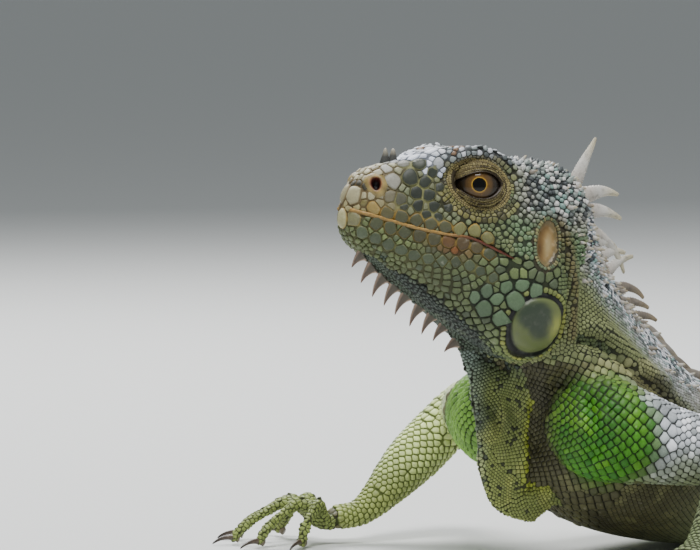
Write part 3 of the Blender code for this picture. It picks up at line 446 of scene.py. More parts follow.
# deeper under the thick scales of the neck, head and snout
skin -= outward * (COAT_DEPTH + thicker * ramp(skin[:, 2], 0.055, 0.065))[:, None]
in_head = to_head(skin)
head_outward = outward @ head_turn
on_head = ramp(in_head[:, 0], -0.100, -0.088) * ramp(skin[:, 2], 0.055, 0.065)
sideways = ramp(np.abs(head_outward[:, 1]), 0.25, 0.7) * on_head
lift = np.zeros(len(skin))
for line, half, height in HEAD_FOLDS:
    lift += height * np.exp(-(line_distance(in_head[:, [0, 2]], line) / half) ** 2) * sideways
body_sideways = ramp(np.abs(outward[:, 1]), 0.15, 0.6)
near_front = (skin[:, 0] < 0.09) * ramp(-np.abs(skin[:, 1]), -0.037, -0.029)
for line, half, height in BODY_FOLDS:
    lift += height * np.exp(-(line_distance(skin[:, [0, 2]], line) / half) ** 2) * body_sideways * near_front
# fine wrinkles round the neck, a raised rim and a hollow for each eardrum, the nostrils, and a seam round each
# cheek shield
wavy = np.sin(skin[:, 0] * 900 + np.sin(skin[:, 2] * 260) * 2.2) * np.exp(-((skin[:, 2] - 0.050) / 0.022) ** 2)
lift += 0.0004 * wavy * body_sideways * (skin[:, 0] < -0.008)
ear_reach = oval_reach(in_head, EAR_CENTRE, EAR_HALF)
lift += (0.0007 * np.exp(-((ear_reach - 1.35) / 0.22) ** 2) - 0.0015 * ramp(-ear_reach, -1.12, -0.82)) * sideways
nostril_reach = oval_reach(in_head, NOSTRIL, (1, 1))
lift -= 0.0030 * np.exp(-(nostril_reach / 0.0019) ** 4) * ramp(np.abs(head_outward[:, 1]), 0.1, 0.4) * on_head
shield_reach = oval_reach(in_head, SHIELD_CENTRE, SHIELD_HALF)
lift -= 0.0010 * np.exp(-((shield_reach - 1.08) / 0.10) ** 2) * sideways
skin += outward * lift[:, None]
in_head = to_head(skin)
for side in (1, -1):  # the sockets
    axis = EYE_AXIS * (1, side, 1)
    depth = (in_head - np.array(EYE_CENTRE) * (1, side, 1)) @ axis
    lid_reach = oval_reach(in_head, LID_CENTRE, LID_HALF)
    hollow = (lid_reach < 0.93) & (depth > 0)
    sunk = np.minimum(depth, 0.0015 + 0.0050 * ramp(lid_reach, 0.7, 0.93))
    in_head += np.where(hollow, sunk - depth, 0)[:, None] * axis
skin = in_head @ head_turn.T + head_origin
skin[:, 2] = np.maximum(skin[:, 2], 0.0004)
skin_quads = array_of(made.loops, "vertex_index", 1, np.int32).reshape(-1, 4)
skin_tree = BVHTree.FromPolygons(skin.tolist(), skin_quads.tolist())


def on_side(forward, up, side=1):
    """The place on the skin of the head's flank at a profile point."""
    origin = head_point(forward, side * 0.045, up)
    inward = head_place.to_3x3() @ Vector((0, -side, 0))
    return skin_tree.ray_cast(origin, inward)[0]


def ball_left(forward, up, radius):
    """How far left a ball about the eye's centre reaches at a profile point."""
    off = radius**2 - (forward - EYE_CENTRE[0]) ** 2 - (up - EYE_CENTRE[2]) ** 2
    return EYE_CENTRE[1] + math.sqrt(max(off, 0))


# the lids: a sleeve of wrinkled skin from the almond opening, over the ball, out to the brow and the cheek
LID_STEPS, LID_TURNS = 30, 120
lid_sleeves = []
for side in (1, -1):
    sleeve = np.zeros((LID_STEPS + 1, LID_TURNS, 3))
    for k in range(LID_TURNS):
        turn = math.tau * k / LID_TURNS
        c, s = math.cos(turn), math.sin(turn)
        x, y = OPENING_HALF[0] * c * (1 - 0.06 * s * s), OPENING_HALF[1] * np.sign(s) * abs(s) ** 1.25
        inner = np.array((OPENING_CENTRE[0] + x * math.cos(OPENING_TILT) - y * math.sin(OPENING_TILT),
                          OPENING_CENTRE[1] + x * math.sin(OPENING_TILT) + y * math.cos(OPENING_TILT)))
        outer = np.array((LID_CENTRE[0] + LID_HALF[0] * c, LID_CENTRE[1] + LID_HALF[1] * s))
        edge_left = abs(to_head(np.array(on_side(*outer, side)))[1]) - 0.0003
        for i in range(LID_STEPS + 1):
            t = i / LID_STEPS
            forward, up = inner + (outer - inner) * t
            slope = edge_left - 0.0016 * (1 - t) ** 2
            left = max(ball_left(forward, up, 0.0080 + 0.0004 * min(t * 4, 1)),
                       slope * t**0.5 + (1 - t**0.5) * max(ball_left(forward, up, 0.0081), slope))
            wrinkle = math.sin(t * math.tau * 5 + 1.0 + 0.8 * math.sin(turn * 2)) * min(t * 5, 1)
            left += 0.00030 * wrinkle * (1 - t**4)
            left += 0.00045 * math.exp(-((t - 0.05) / 0.045) ** 2)
            left -= 0.0012 * math.exp(-(t / 0.022) ** 2) + 0.0004 * t**12
            sleeve[i, k] = head_point(forward, side * left, up)
    lid_sleeves.append(sleeve)
lid_faces = [(a, d, c, b) for a, b, c, d in ring_faces(LID_STEPS + 1, LID_TURNS)]
tree_points, tree_faces = skin.tolist(), skin_quads.tolist()
for sleeve, step in zip(lid_sleeves, (-1, 1)):
    tree_faces += [[len(tree_points) + i for i in face[::step]] for face in lid_faces]
    tree_points += sleeve.reshape(-1, 3).tolist()
skin_tree = BVHTree.FromPolygons(tree_points, tree_faces)
made.vertices.foreach_set("co", skin.ravel())
made.update()
outward = array_of(made.vertex_normals, "vector", 3)

# The lie of the coat --------------------------------------------------
# Every scale has a root on the skin, half a width, and a way to lie. On the body and limbs the roots stand in
# staggered rows, ring after ring; on the head they are plates in the order a green iguana has them, with
# smaller scales packed between.

rng = np.random.default_rng(7)
KINDS = {  # height as a share of the half width, lean of the free edge, how sharply keeled, groove, rounded
    "plate": (0.24, 0.00, 0.00, 0.07, True),
    "cheek": (0.36, 0.04, 0.00, 0.12, True),
    "granule": (0.62, 0.10, 0.00, 0.13, False),
    "thorny": (0.95, 0.22, 0.75, 0.16, False),
    "tile": (0.24, 0.16, 0.10, 0.09, False),
    "keeled": (0.26, 0.24, 0.42, 0.09, False),
    "belly": (0.20, 0.14, 0.00, 0.08, False),
    "scute": (0.20, 0.12, 0.05, 0.07, False),
    "lid": (0.42, 0.05, 0.00, 0.10, False),
}
KIND_NAMES = list(KINDS)
roots = {"place": [], "half": [], "lie": [], "kind": [], "zone": []}
grid, GRID_STEP = {}, 0.0030


def clear_of_others(place, half, share):
    """Whether a root leaves enough room to those already there."""
    cell = tuple(int(c // GRID_STEP) for c in place)
    for i in range(cell[0] - 1, cell[0] + 2):
        for j in range(cell[1] - 1, cell[1] + 2):
            for k in range(cell[2] - 1, cell[2] + 2):
                for x, y, z, other in grid.get((i, j, k), ()):
                    reach = share * (half + other)
                    if (place[0] - x) ** 2 + (place[1] - y) ** 2 + (place[2] - z) ** 2 < reach * reach:
                        return False
    return True


# lids, eardrums, cheek shields and nostrils as ovals, and how far from the head's middle each begins
BARE_OVALS = ((LID_CENTRE, LID_HALF, 0.008), (EAR_CENTRE, EAR_HALF, 0.010), (SHIELD_CENTRE, SHIELD_HALF, 0.010),
              (NOSTRIL, (1, 1), 0.003))
BARE_LIMITS = (1.0, 1.14, 1.19, 0.0027)
NECK_HEIGHT = 0.06


def in_ovals(places, limits):
    """Whether places of the head are within these limits of the bare ovals."""
    found = False
    for (centre, half, least), limit in zip(BARE_OVALS, limits):
        found = found | (oval_reach(places, centre, half) < limit) & (np.abs(places[..., 1]) > least)
    return found


def set_roots(places, half, lie, kind, zone, share=0.80, reach=0.0025):
    """Stands roots on the skin where there is room. half and kind are values or functions of a place."""
    places = np.asarray(places, float).reshape(-1, 3)
    lie = np.broadcast_to(lie, places.shape)
    for place, way in zip(places, lie):
        spot, _, _, _ = skin_tree.find_nearest(place, reach)
        if spot is None:
            continue
        if zone != "lid" and spot.z >= NECK_HEIGHT and in_ovals(to_head(np.array(spot)), BARE_LIMITS):
            continue
        size = half(spot) if callable(half) else half
        form = kind(spot) if callable(kind) else kind
        if form == "thorny":
            size *= 0.78 + 0.5 * rng.random()
        if not clear_of_others(spot, size, share):
            continue
        grid.setdefault(tuple(int(c // GRID_STEP) for c in spot), []).append((*spot, size))
        for key, value in zip(roots, (tuple(spot), size, tuple(way), form, zone)):
            roots[key].append(value)


def on_top(forward, left):
    """The place on the skin of the head's crown."""
    return skin_tree.ray_cast(head_point(forward, left, 0.06), head_place.to_3x3() @ Vector((0, 0, -1)))[0]


def run_of(points):
    """How far along a line each of its points is."""
    return np.concatenate([[0], np.cumsum(np.linalg.norm(np.diff(points, axis=0), axis=1))])


def points_at(reach, run, points):
    """The places this far along a line."""
    return np.stack([np.interp(reach, run, points[:, c]) for c in range(points.shape[1])], axis=-1)


def height_on(line, forward):
    """How high a line of the head's profile is at these places forward."""
    line = np.array(line)[::-1]
    return np.interp(forward, line[:, 0], line[:, 1])


backward = head_turn @ np.array((-1, 0, 0))
# plates of the snout and cheek as (forward, up, half width), and of the crown as (forward, left, half width)
SNOUT_PLATES = metres(((-1.3, 4.4, 3.6), (-16.1, 13.6, 2.9), (-20.8, 13.3, 1.9), (-22.4, 16.6, 1.6),
                       (-18.4, 9.1, 2.1), (-22.6, 9.5, 2.0), (-19.6, 5.6, 1.8), (-24.4, 6.4, 1.8),
                       (-14.3, 6.3, 1.9), (-10.5, 6.4, 1.9), (-11.0, 11.2, 2.7), (-25.4, 12.6, 1.6),
                       (-18.9, 18.4, 2.2), (-14.2, 17.2, 2.0), (-23.6, 20.0, 1.8), (-9.2, 14.6, 1.7),
                       (-28.6, 7.0, 1.5), (-15.6, 4.0, 1.2), (-11.6, 3.2, 1.1), (-22.6, 3.4, 1.3),
                       (-26.4, 3.6, 1.3), (-8.0, 3.6, 1.2)))
CHEEK_PLATES = metres(((-47.4, -21.4, 2.8), (-53.1, -22.9, 3.0), (-55.6, -16.6, 3.0), (-50.0, -17.6, 2.1),
                       (-61.8, -12.3, 2.4), (-56.8, -11.6, 2.0), (-51.6, -13.0, 1.9), (-46.6, -15.6, 1.9),
                       (-43.2, -18.4, 1.7), (-66.6, -12.0, 1.5)))
CROWN_PLATES = metres(((-7, 0, 1.7), (-9, 4.2, 2), (-18.5, 0, 2), (-18.5, 4.6, 2.2), (-23.5, 2.2, 2.1),
                       (-23, 6.8, 2.1), (-29, 0, 2.1), (-29, 4.8, 2.2), (-34, 2.3, 1.9)))
lip = smooth_rows(LIP_LINE, 40)
lip_along = run_of(lip)


def by_lip(reach, rise):
    """The profile point this far along the lip and this far above it."""
    return points_at(reach, lip_along, lip) + (0, rise)


def plate(spot, half, zone, share=0.6, reach=0.0025):
    set_roots(spot, half, backward, "plate", zone, share, reach)


for side in (1, -1):
    plate(on_side(-0.0022, -0.0030, side), 0.0028, "lower_lip", 0.4)
for side in (1, -1):
    for n in range(9):
        plate(on_side(*by_lip(0.0085 + 0.0045 * n, 0.0021), side), 0.00215, "upper_lip")
    for n in range(10):
        plate(on_side(*by_lip(0.0060 + 0.0045 * n, -0.0022), side), 0.00220, "lower_lip")
    for n in range(11):
        rise_by = -0.0060 - 0.0006 * min(n, 4)
        plate(on_side(*by_lip(0.0075 + 0.0042 * n, rise_by), side), 0.0021 - 0.00006 * n, "jaw")
    for plates, zone_name in ((SNOUT_PLATES, "snout"), (CHEEK_PLATES, "cheek")):
        for forward, up, half in plates:
            plate(on_side(forward, up, side), half, zone_name)
plate(head_point(0.0015, 0, 0.0042), 0.0034, "snout", reach=0.006)
plate(head_point(0.0015, 0, -0.0040), 0.0036, "lower_lip", reach=0.006)
for forward, left, half in CROWN_PLATES:
    for way in (1, -1)[: 1 + (left > 0)]:
        plate(on_top(forward, way * left), half, "crown")

# beads in rings on the lids, then rows of longer scales over and under each eye
LID_ROWS = ((0.15, 64), (0.26, 66), (0.37, 66), (0.48, 66), (0.59, 66), (0.70, 66), (0.80, 66), (0.90, 70),
            (1.0, 74))
for sleeve, side in zip(lid_sleeves, (1, -1)):
    for share, count in LID_ROWS:
        ring = sleeve[round(share * LID_STEPS)]
        ring = np.vstack([ring, ring[:1]])
        around = run_of(ring)
        spots = (np.arange(count) + rng.random(count) * 0.5) / count * around[-1]
        spots = points_at(spots, around, ring)
        if share > 0.7:
            spots = np.array([on_side(*to_head(spot)[[0, 2]], side) for spot in spots])
        set_roots(spots, around[-1] / count / 2, unit(spots - ring.mean(0)), "lid", "lid", 0.62)
# share of the lids' outline, number, half width, first and last bearing
BROW_ROWS = ((1.08, 50, 0.00052, 0, 352), (1.20, 30, 0.00080, 195, 330), (1.36, 24, 0.00090, 200, 330),
             (1.22, 20, 0.00085, 20, 150))
for side in (1, -1):
    for grow, count, half, first, last in BROW_ROWS:
        for turn in np.radians(np.linspace(first, last, count) + rng.normal(0, 1.2, count)):
            forward = LID_CENTRE[0] + math.cos(turn) * LID_HALF[0] * grow
            up = LID_CENTRE[1] + math.sin(turn) * LID_HALF[1] * grow
            if on_side(forward, up, side):
                set_roots(on_side(forward, up, side), half * (0.85 + 0.3 * rng.random()), backward, "cheek",
                          "brow", 0.66)
# a ring of granules round each eardrum and each cheek shield: centre, half size, number, half width, outline
ORGAN_RINGS = ((EAR_CENTRE, EAR_HALF, 44, 0.00052, 1.20), (SHIELD_CENTRE, SHIELD_HALF, 42, 0.0008, 1.27))
for side in (1, -1):
    for centre, size, count, half, grow in ORGAN_RINGS:
        for turn in np.arange(count) * math.tau / count:
            forward = centre[0] + math.cos(turn) * (size[0] + (grow - 1) * size[1])
            up = centre[1] + math.sin(turn) * size[1] * grow
            if on_side(forward, up, side):
                set_roots(on_side(forward, up, side), half, backward, "granule", "ring", 0.7)


def row_roots(rings, pitch, row_share, kind, zone, first=0.0, last=1.0, block=12, share=0.80):
    """Staggered rows of roots round a tube. pitch is a number or a function of the share of its length."""
    rings = np.array(rings)
    centres = rings.mean(1)
    along = run_of(centres)
    closed = np.concatenate([rings, rings[:, :1]], axis=1)
    place, row, count = first * along[-1], 0, 0
    while place < last * along[-1]:
        at = np.interp(place, along, np.arange(len(along)))
        i = min(int(at), len(rings) - 2)
        ring = closed[i] + (closed[i + 1] - closed[i]) * (at - i)
        way = unit(centres[i + 1] - centres[i])
        around = run_of(ring)
        size = pitch(place / along[-1]) if callable(pitch) else pitch
        if row % block == 0:
            count = max(6, round(around[-1] / size))
        spots = (np.arange(count) + 0.5 * (row % 2)) / count * around[-1]
        spots = points_at(spots, around, ring)
        set_roots(spots, min(around[-1] / count, size * 1.25) / 2, way, kind, zone, share)
        place += size * row_share
        row += 1


fine_body = smooth_rows(body_rows(), 8)
turns = math.pi / 2 + np.arange(90) * math.tau / 90
body_rings = np.array([body_ring(row, turns) for row in fine_body])
RIB_END = (len(RIBS) - 1) * 8  # the section of the last rib
trunk_rings, tail_rings = body_rings[: RIB_END + 1], body_rings[RIB_END:]


def trunk_pitch(share):
    return float(np.interp(share, (0, 0.10, 0.22, 0.34, 0.50, 1),
                           (0.00120, 0.00118, 0.00130, 0.00165, 0.00220, 0.00225)))


def trunk_kind(spot):
    if spot.z < 0.010 and spot.x > 0.03:
        return "belly"
    if spot.x < 0.012 and spot.z > 0.072:
        return "thorny" if spot.z > 0.080 + abs(spot.y + 0.002) * 0.6 else "granule"
    return "tile"


# the shoulder's net of scales: rows that cross, and widen away from the throat. It is laid out on an upright
# plane that leans 40 degrees across the animal's front, then set back on the skin
SHOULDERS = ((-0.010, -0.020, 0.046), (-0.008, 0.024, 0.046))
NET_FOCUS, NET_STEP, NET_ROWS = np.array((-0.035, 0.049)), 0.063, 0.58
NET_TURN, NET_SPREAD = math.radians(40), 1.7


def on_net(spot):
    """A place's distance across the net's plane and its height, from the focus."""
    return np.array((math.cos(NET_TURN) * spot[0] + math.sin(NET_TURN) * abs(spot[1]), spot[2])) - NET_FOCUS


def net_places(low, high, outward_y):
    """Where the net meets the skin of one side."""
    inward = Vector((math.sin(NET_TURN), -outward_y * math.cos(NET_TURN), 0))
    found = []
    for i in range(round(math.log(high / low) / (NET_STEP * NET_ROWS))):
        reach = low * math.exp(i * NET_STEP * NET_ROWS)
        for turn in np.arange(-NET_SPREAD, NET_SPREAD, NET_STEP) + NET_STEP / 2 * (i % 2):
            u, z = NET_FOCUS + reach * np.array((math.cos(turn), math.sin(turn)))
            start = Vector((u * math.cos(NET_TURN), outward_y * u * math.sin(NET_TURN), z)) - inward * 0.12
            spot = skin_tree.ray_cast(start, inward)[0]
            if spot and z > 0.004:
                found.append(spot)
    return found


def net_half(spot):
    return NET_STEP / 2 * np.linalg.norm(on_net(spot))


for outward_y, middle_of in zip((-1, 1), SHOULDERS):
    spots = [spot for spot in net_places(0.016, 0.075, outward_y)
             if np.linalg.norm((np.array(spot) - middle_of) / (0.027, 0.030, 0.022)) < 1.05 and spot[0] < 0.020]
    set_roots(spots, net_half, unit(np.array((0.8, 0, -0.35))), "keeled", "shoulder", 0.70)
for limbs, radii, digits, name, pitch in ((FORELEGS, FORELEG_RADII, FINGERS, "arm", 0.0036),
                                          (HINDLEGS, HINDLEG_RADII, TOES, "leg", 0.0034)):
    for limb in limbs:
        for path, _ in digit_paths(limb, digits):
            rings = round_ends(tube_rings(path, digit_radii(path), 24, 4), {0: 0.0015, -1: 0.0010})
            row_roots(rings, 0.0016, 0.85, "scute", "digit", 0.15, 0.99, share=0.66)
        rings = tube_rings(limb[0], radii, 40, 8)
        row_roots(rings, lambda share: pitch - 0.0009 * share, 0.56, "keeled", name, 0.13, 1.0, 24, 0.66)
row_roots(tail_rings, lambda share: 0.0029 - 0.0011 * share, 1.15, "keeled", "tail", 0.0, 0.995)

fan_edge, fan_root = smooth_rows(FAN_EDGE, 24), smooth_rows(FAN_ROOT, 24)
fan_along = run_of(fan_edge)
FAN_PITCH = 0.00108
for row, reach in enumerate(np.arange(0.002, fan_along[-1], FAN_PITCH * 0.88)):
    a = points_at(reach, fan_along, fan_edge)
    b = points_at(reach, fan_along, fan_root)
    span = np.linalg.norm(b - a)
    shares = (np.arange(0, span, FAN_PITCH) + 0.5 * FAN_PITCH * (row % 2)) / span
    half = np.interp(shares, [leaf[0] for leaf in FAN_LEAF], [leaf[1] for leaf in FAN_LEAF])
    for side in (-1, 1):
        spots = a + (b - a) * shares[:, None]
        spots[:, 1] += side * half
        set_roots(spots, FAN_PITCH / 2, unit(b - a) * 0.5 + (0, 0, -0.8), "granule", "fan", 0.80, 0.003)

for outward_y in (-1, 1):
    spots = [spot for spot in net_places(0.009, 0.060, outward_y)
             if spot[0] < 0.016 and spot[2] < 0.068 and to_head(np.array(spot))[0] < -0.088]
    set_roots(spots, net_half, unit(np.array((0.8, 0, -0.35))), "tile", "between", 0.74)
row_roots(trunk_rings, trunk_pitch, 0.90, trunk_kind, "trunk")

# rows of long scales down the jaw, wider the further they are from the mouth
for side in (1, -1):
    drop_by = 0.0086
    for row in range(9):
        step = 0.0023 + 0.00020 * row
        for reach in np.arange(0.019 + 0.0012 * row, 0.072, step) + step / 2 * (row % 2):
            forward, up = by_lip(reach, -drop_by)
            past = max(reach - lip_along[-1], 0)
            here = on_side(forward - past, up - 0.10 * past, side)
            if here and to_head(np.array(here))[2] > height_on(JAW_LINE, forward + past):
                set_roots(here, step * 0.36, backward + (0, 0, -0.15), "cheek", "filled", 0.80)
        drop_by += step * 0.62


def head_half(spot):
    """Half the width of the scales that fill in, by their place on the head."""
    forward, left, up = to_head(np.array(spot))
    if spot[0] > 0.04 or spot[2] < 0.062 or forward < -0.100:
        return 0.00095
    if forward < -0.068 and up < 0.012:
        return 0.00070
    if up < height_on(JAW_LINE, forward):
        return 0.00058
    if up < height_on(lip, forward):
        return float(np.interp(forward, (-0.060, -0.050, -0.030, -0.015), (0.00165, 0.00150, 0.00095, 0.00085)))
    if abs(left) < 0.010 and up > 0.012:
        return float(np.interp(forward, (-0.070, -0.050, -0.035, -0.010), (0.0009, 0.0009, 0.0011, 0.0014)))
    return float(np.interp(forward, (-0.070, -0.048, -0.028, -0.015), (0.00075, 0.00075, 0.0008, 0.0011)))


def head_kind(spot):
    forward, left, up = to_head(np.array(spot))
    behind = forward < -0.050 and up > 0.010 + (forward + 0.050) * 0.35
    return "thorny" if behind else "granule" if head_half(spot) < 0.0009 else "cheek"


loose = skin[rng.permutation(len(skin))]
loose_head = to_head(loose)
bare = in_ovals(loose_head, (1.0, 1.15, 1.06, 0.0029))
is_head = (loose_head[:, 0] > -0.100) & (loose[:, 2] > 0.062) & (loose[:, 0] < 0.04)
set_roots(loose[~bare & is_head], head_half, backward, head_kind, "filled", 0.84)
set_roots(loose[~bare & ~is_head], 0.00095, (0.6, 0, -0.6), "tile", "between", 0.84)

# The colours of the coat ----------------------------------------------
# Each scale has a colour of its own and one for the groove round it, and the skin under it takes the second.
# Brown-grey nose, pale slate crown, olive lids, green cheeks, a dark throat over an olive fan, a vivid green
# shoulder, a near arm almost white at its top, grey-green flanks with faint bars, and a tail in brown bands.
# Painted shade lies in the hollow behind the fan's fold, and painted light on the far shoulder and far arm.

place = np.array(roots["place"])
half = np.array(roots["half"])
kind = np.array([KIND_NAMES.index(k) for k in roots["kind"]])
zone = np.array(roots["zone"])
in_head = to_head(place)
forward, leftward, rise = in_head.T
count = len(half)
normal = np.zeros((count, 3))
for i, spot in enumerate(place):
    normal[i] = skin_tree.find_nearest(spot)[1]


def dye(code):
    """A paint chip's colour as light."""
    value = np.array([int(code[i : i + 2], 16) / 255 for i in (0, 2, 4)])
    return np.where(value < 0.04045, value / 12.92, ((value + 0.055) / 1.055) ** 2.4)


def mottle(places, size, seed=0):
    """Soft patches of 0 to 1, about this far apart."""
    scaled = places / size + 100
    base = np.floor(scaled).astype(np.int64)
    share = scaled - base
    share = share * share * (3 - 2 * share)
    total = np.zeros(len(places))
    for corner in np.ndindex(2, 2, 2):
        cell = base + corner
        mixed = (cell[:, 0] * 73856093) ^ (cell[:, 1] * 19349663) ^ (cell[:, 2] * 83492791) ^ (seed * 2654435761)
        value = ((mixed * 1103515245 + 12345) >> 8 & 0xFFFF) / 65535
        total += value * np.prod(np.where(corner, share, 1 - share), axis=1)
    return total


def paint(target, mask, code, strength=1.0):
    """Lays a colour over those already there, where the mask is 1."""
    weight = (np.asarray(mask, float) * strength)[:, None]
    target[:] = target * (1 - weight) + dye(code) * weight


def dress(part, groove, *coats):
    """Paints the grooves of a part of the coat, and its scales in coats of a colour, where it lies and how
    strongly."""
    if groove:
        paint(rim, part, groove)
    for coat in coats:
        code, where, strength = (*coat, 1.0, 1.0)[:3]
        paint(tint, part * where, code, strength)


def patch(across, up, centre, half_size):
    """A soft oval patch, 1 in its middle."""
    return np.exp(-((across - centre[0]) / half_size[0]) ** 2 - ((up - centre[1]) / half_size[1]) ** 2)


tint = np.tile(dye("7C8560"), (count, 1))
rim = np.tile(dye("33361F"), (count, 1))
patches, fine = mottle(place, 0.012, 1), mottle(place, 0.0035, 2)
blotchy, speckled = ramp(patches, 0.45, 0.75), ramp(fine, 0.5, 0.8)
chance = rng.random(count)
trunk, tail, arm, leg, digit, fan, between = (
    zone == name for name in ("trunk", "tail", "arm", "leg", "digit", "fan", "between"))
between |= zone == "shoulder"
head = ~(trunk | tail | arm | leg | digit | fan | between)
trunk = trunk | between

# flanks, belly and tail
x, y, z = place.T
fan |= between & (x < -0.0190) & (np.abs(y) < 0.0085) & (z > 0.012)
trunk &= ~fan
BAR_SPACING, BAND_SPACING = 0.044, 0.058
bars = 0.5 + 0.5 * np.sin(x * 2 * math.pi / BAR_SPACING + np.sin(z * 90) * 0.8)
dress(trunk, None, ("79805F",), ("8E9080", z > 0.045, 0.7), ("4A4E38", ramp(bars, 0.62, 0.95), 0.6),
      ("A9B184", ramp(-z, -0.026, -0.006), 0.8))


def tree_of(places):
    """A search tree of places, each under its own number."""
    tree = KDTree(len(places))
    for i, spot in enumerate(places):
        tree.insert(spot, i)
    tree.balance()
    return tree


tail_frames = smooth_rows([[*spot, share] for spot, _, share in tail_places()], 10)
tail_tree = tree_of([(row[0], row[1], 0) for row in tail_frames])
tail_share = np.array([tail_frames[tail_tree.find((p[0], p[1], 0))[1]][2] if on_tail else 0
                       for p, on_tail in zip(place, tail)])
bands = 0.5 + 0.5 * np.sin(tail_share * TAIL_LENGTH / BAND_SPACING * 2 * math.pi + 0.6)
dress(tail, "2A2418", ("8A8460",), ("41382A", ramp(bands + 0.25 * (patches - 0.5), 0.40, 0.62), 0.88))
# limbs
left_arm = arm & (y < 0)
far = (arm | digit) & (y > 0)
inner = ramp(normal[:, 1], 0.1, 0.7)
upper_arm = np.maximum(arm * 1.0, (zone == "shoulder") * ramp(x, -0.003, 0.005)) * (y < 0)
elbow_height = ramp(z + 0.012 * (patches - 0.5), 0.027, 0.041) * ramp(-z, -0.059, -0.054)
upper_arm *= 1 - ramp(-x, -0.045, -0.030) * (1 - elbow_height)
dress(left_arm, None, ("9BA67E",), ("7C8A62", blotchy, 0.6))
dress(upper_arm, "2E322C", ("D2D6DC",), ("8E9494", speckled, 0.7), ("F4F4FA", chance > 0.7, 0.7))
# the far arm's near-white yellow-green is partly its own pale colour and partly painted light
dress(far & arm, None, ("DCEBA0",), ("B9C0B0", inner, 0.75))
dress(upper_arm > 0.5, None, ("A4BC78", inner, 0.75))
# the light olive grooves of the far limbs are partly painted light
dress(far, "66762F", ("A3AE66", ramp(-z, -0.030, -0.014), 0.85))
dress(leg, None, ("7F8C5C",), ("5C6446", blotchy, 0.6))
dress(digit, "3C4122", ("94A25C",), ("7A7C48", ramp(patches, 0.5, 0.8), 0.5))
# shoulder; the dark patch behind the throat fan's fold is painted shade of the hollow there
front = trunk * ramp(-x, -0.050, -0.016) * ramp(-z, -0.080, -0.070) * (1 - upper_arm)
dress(front, "1F1D12", ("5C5A3C",), ("85845A", ramp(fine, 0.45, 0.8), 0.7),
      ("3A3826", ramp(patches, 0.55, 0.8), 0.7),
      ("2C2C1E", patch(x, z, (-0.0135, 0.050), (0.006, 0.015)), 0.7),
      ("B4B684", ramp(x, -0.014, -0.007) * ramp(z, 0.058, 0.063), 0.75))
GREEN_SHIFT, GREEN_HALF = np.array((0.0030, 0, -0.0030)), np.array((0.0155, 0.025, 0.0190))
from_joint = [np.linalg.norm((place - middle_of - GREEN_SHIFT) / GREEN_HALF, axis=1) for middle_of in SHOULDERS]
shoulder = ramp(0.20 * (patches - 0.5) - np.minimum(*from_joint), -1.25, -0.70)
shoulder *= (trunk | arm) * ramp(np.abs(y), 0.013, 0.024)
# the far shoulder's lighter green, 9CCB62, is painted light
dress(shoulder, "1C3A0C", ("468C1C",), ("72AA26", ramp(fine, 0.45, 0.9), 0.7), ("3A8428", chance < 0.25, 0.7),
      ("9CCB62", y > 0, 0.8))
# nape and neck
dress(trunk & (x < 0.035) & (z > 0.066), "26281A", ("868D62",))
spine_side = trunk * ramp(0.03 * (patches - 0.5) - x, -0.098, -0.052)
spine_side = spine_side * ramp(z - (0.094 - 0.9 * np.clip(x + 0.005, -0.1, 0.045)), -0.012, 0.006)
dress(spine_side, "2A2E30", ("9AA7AC",), ("ECECF0", chance < 0.46, 0.9),
      ("33373D", (chance > 0.46) & (chance < 0.66), 0.9), ("7CA296", chance > 0.94, 0.7),
      ("4C4F48", ramp(-fine, -0.40, -0.28), 0.75), ("A08E76", ramp(patches, 0.6, 0.85), 0.5))
# throat fan
dress(fan, "2A2E1E", ("4A5648",), ("6F7A4A", ramp(-z, -0.072, -0.054), 0.9),
      ("9CA663", ramp(-z, -0.068, -0.046) * ramp(patches, 0.1, 0.6), 0.8),
      ("C0C678", ramp(-z, -0.062, -0.036) * speckled, 0.7),
      ("24261E", (chance < 0.10) * ramp(-fine, -0.55, -0.45), 0.85),
      ("A4B4AC", ramp(-x, 0.031, 0.038) * (z < 0.07), 0.5),
      ("A6B038", ramp(x, -0.0215, -0.0195) * ramp(-z, -0.062, -0.050) * ramp(z, 0.021, 0.027), 0.7))

# head
jaw_up, lip_up = height_on(JAW_LINE, forward) - 0.0006, height_on(lip, forward)
upper = head & (rise > lip_up)
cheek = head & (rise <= lip_up) & (rise > jaw_up)
throat = head & (rise <= jaw_up)
back_share = ramp(-forward, 0.020, 0.052)
dress(cheek, "5C5C38", ("5A6144",), ("67744E", back_share), ("808F5A", ramp(patches, 0.40, 0.8), 0.6),
      ("55604E", chance < 0.15, 0.6))
dress(cheek * back_share, "1C2413")
dress(throat, "12160F", ("3C463E",), ("6A745E", ramp(fine, 0.5, 0.85), 0.6))
dress(upper, "3A3A22", ("7B8264",))
green_side = upper * ramp(-forward, 0.030, 0.046) * ramp(-rise, -0.014, -0.006)
dress(green_side, "283020", ("6B7652",), ("647E62", ramp(patches, 0.5, 0.8), 0.6), ("8E9468", chance < 0.2, 0.6))
dress(upper, None, ("77765A", ramp(forward, -0.034, -0.020) * ramp(patches, 0.2, 0.7), 0.7))
crown = upper & (rise > 0.0165) & (np.abs(leftward) < 0.0125) | (zone == "crown")
dress(crown, "646B74", ("CDD2DE",), ("F2F3F8", ramp(fine + 0.2 * (chance - 0.5), 0.5, 0.85), 0.8),
      ("767C88", ramp(-fine, -0.42, -0.2), 0.8))
temple = upper * ramp(-forward, 0.047, 0.056) * ramp(rise, 0.006, 0.016)
dress(temple, "232829", ("8A938E",), ("AEA69A", blotchy, 0.6), ("E6E4E0", chance < 0.32, 0.85),
      ("2F343A", (chance > 0.32) & (chance < 0.54), 0.85), ("7FA39A", chance > 0.93, 0.6))
snout = zone == "snout"
dress(snout, "A8A870", ("30352C",), ("505442", speckled, 0.6))
nose = upper * ramp(forward, -0.0165, -0.0075)
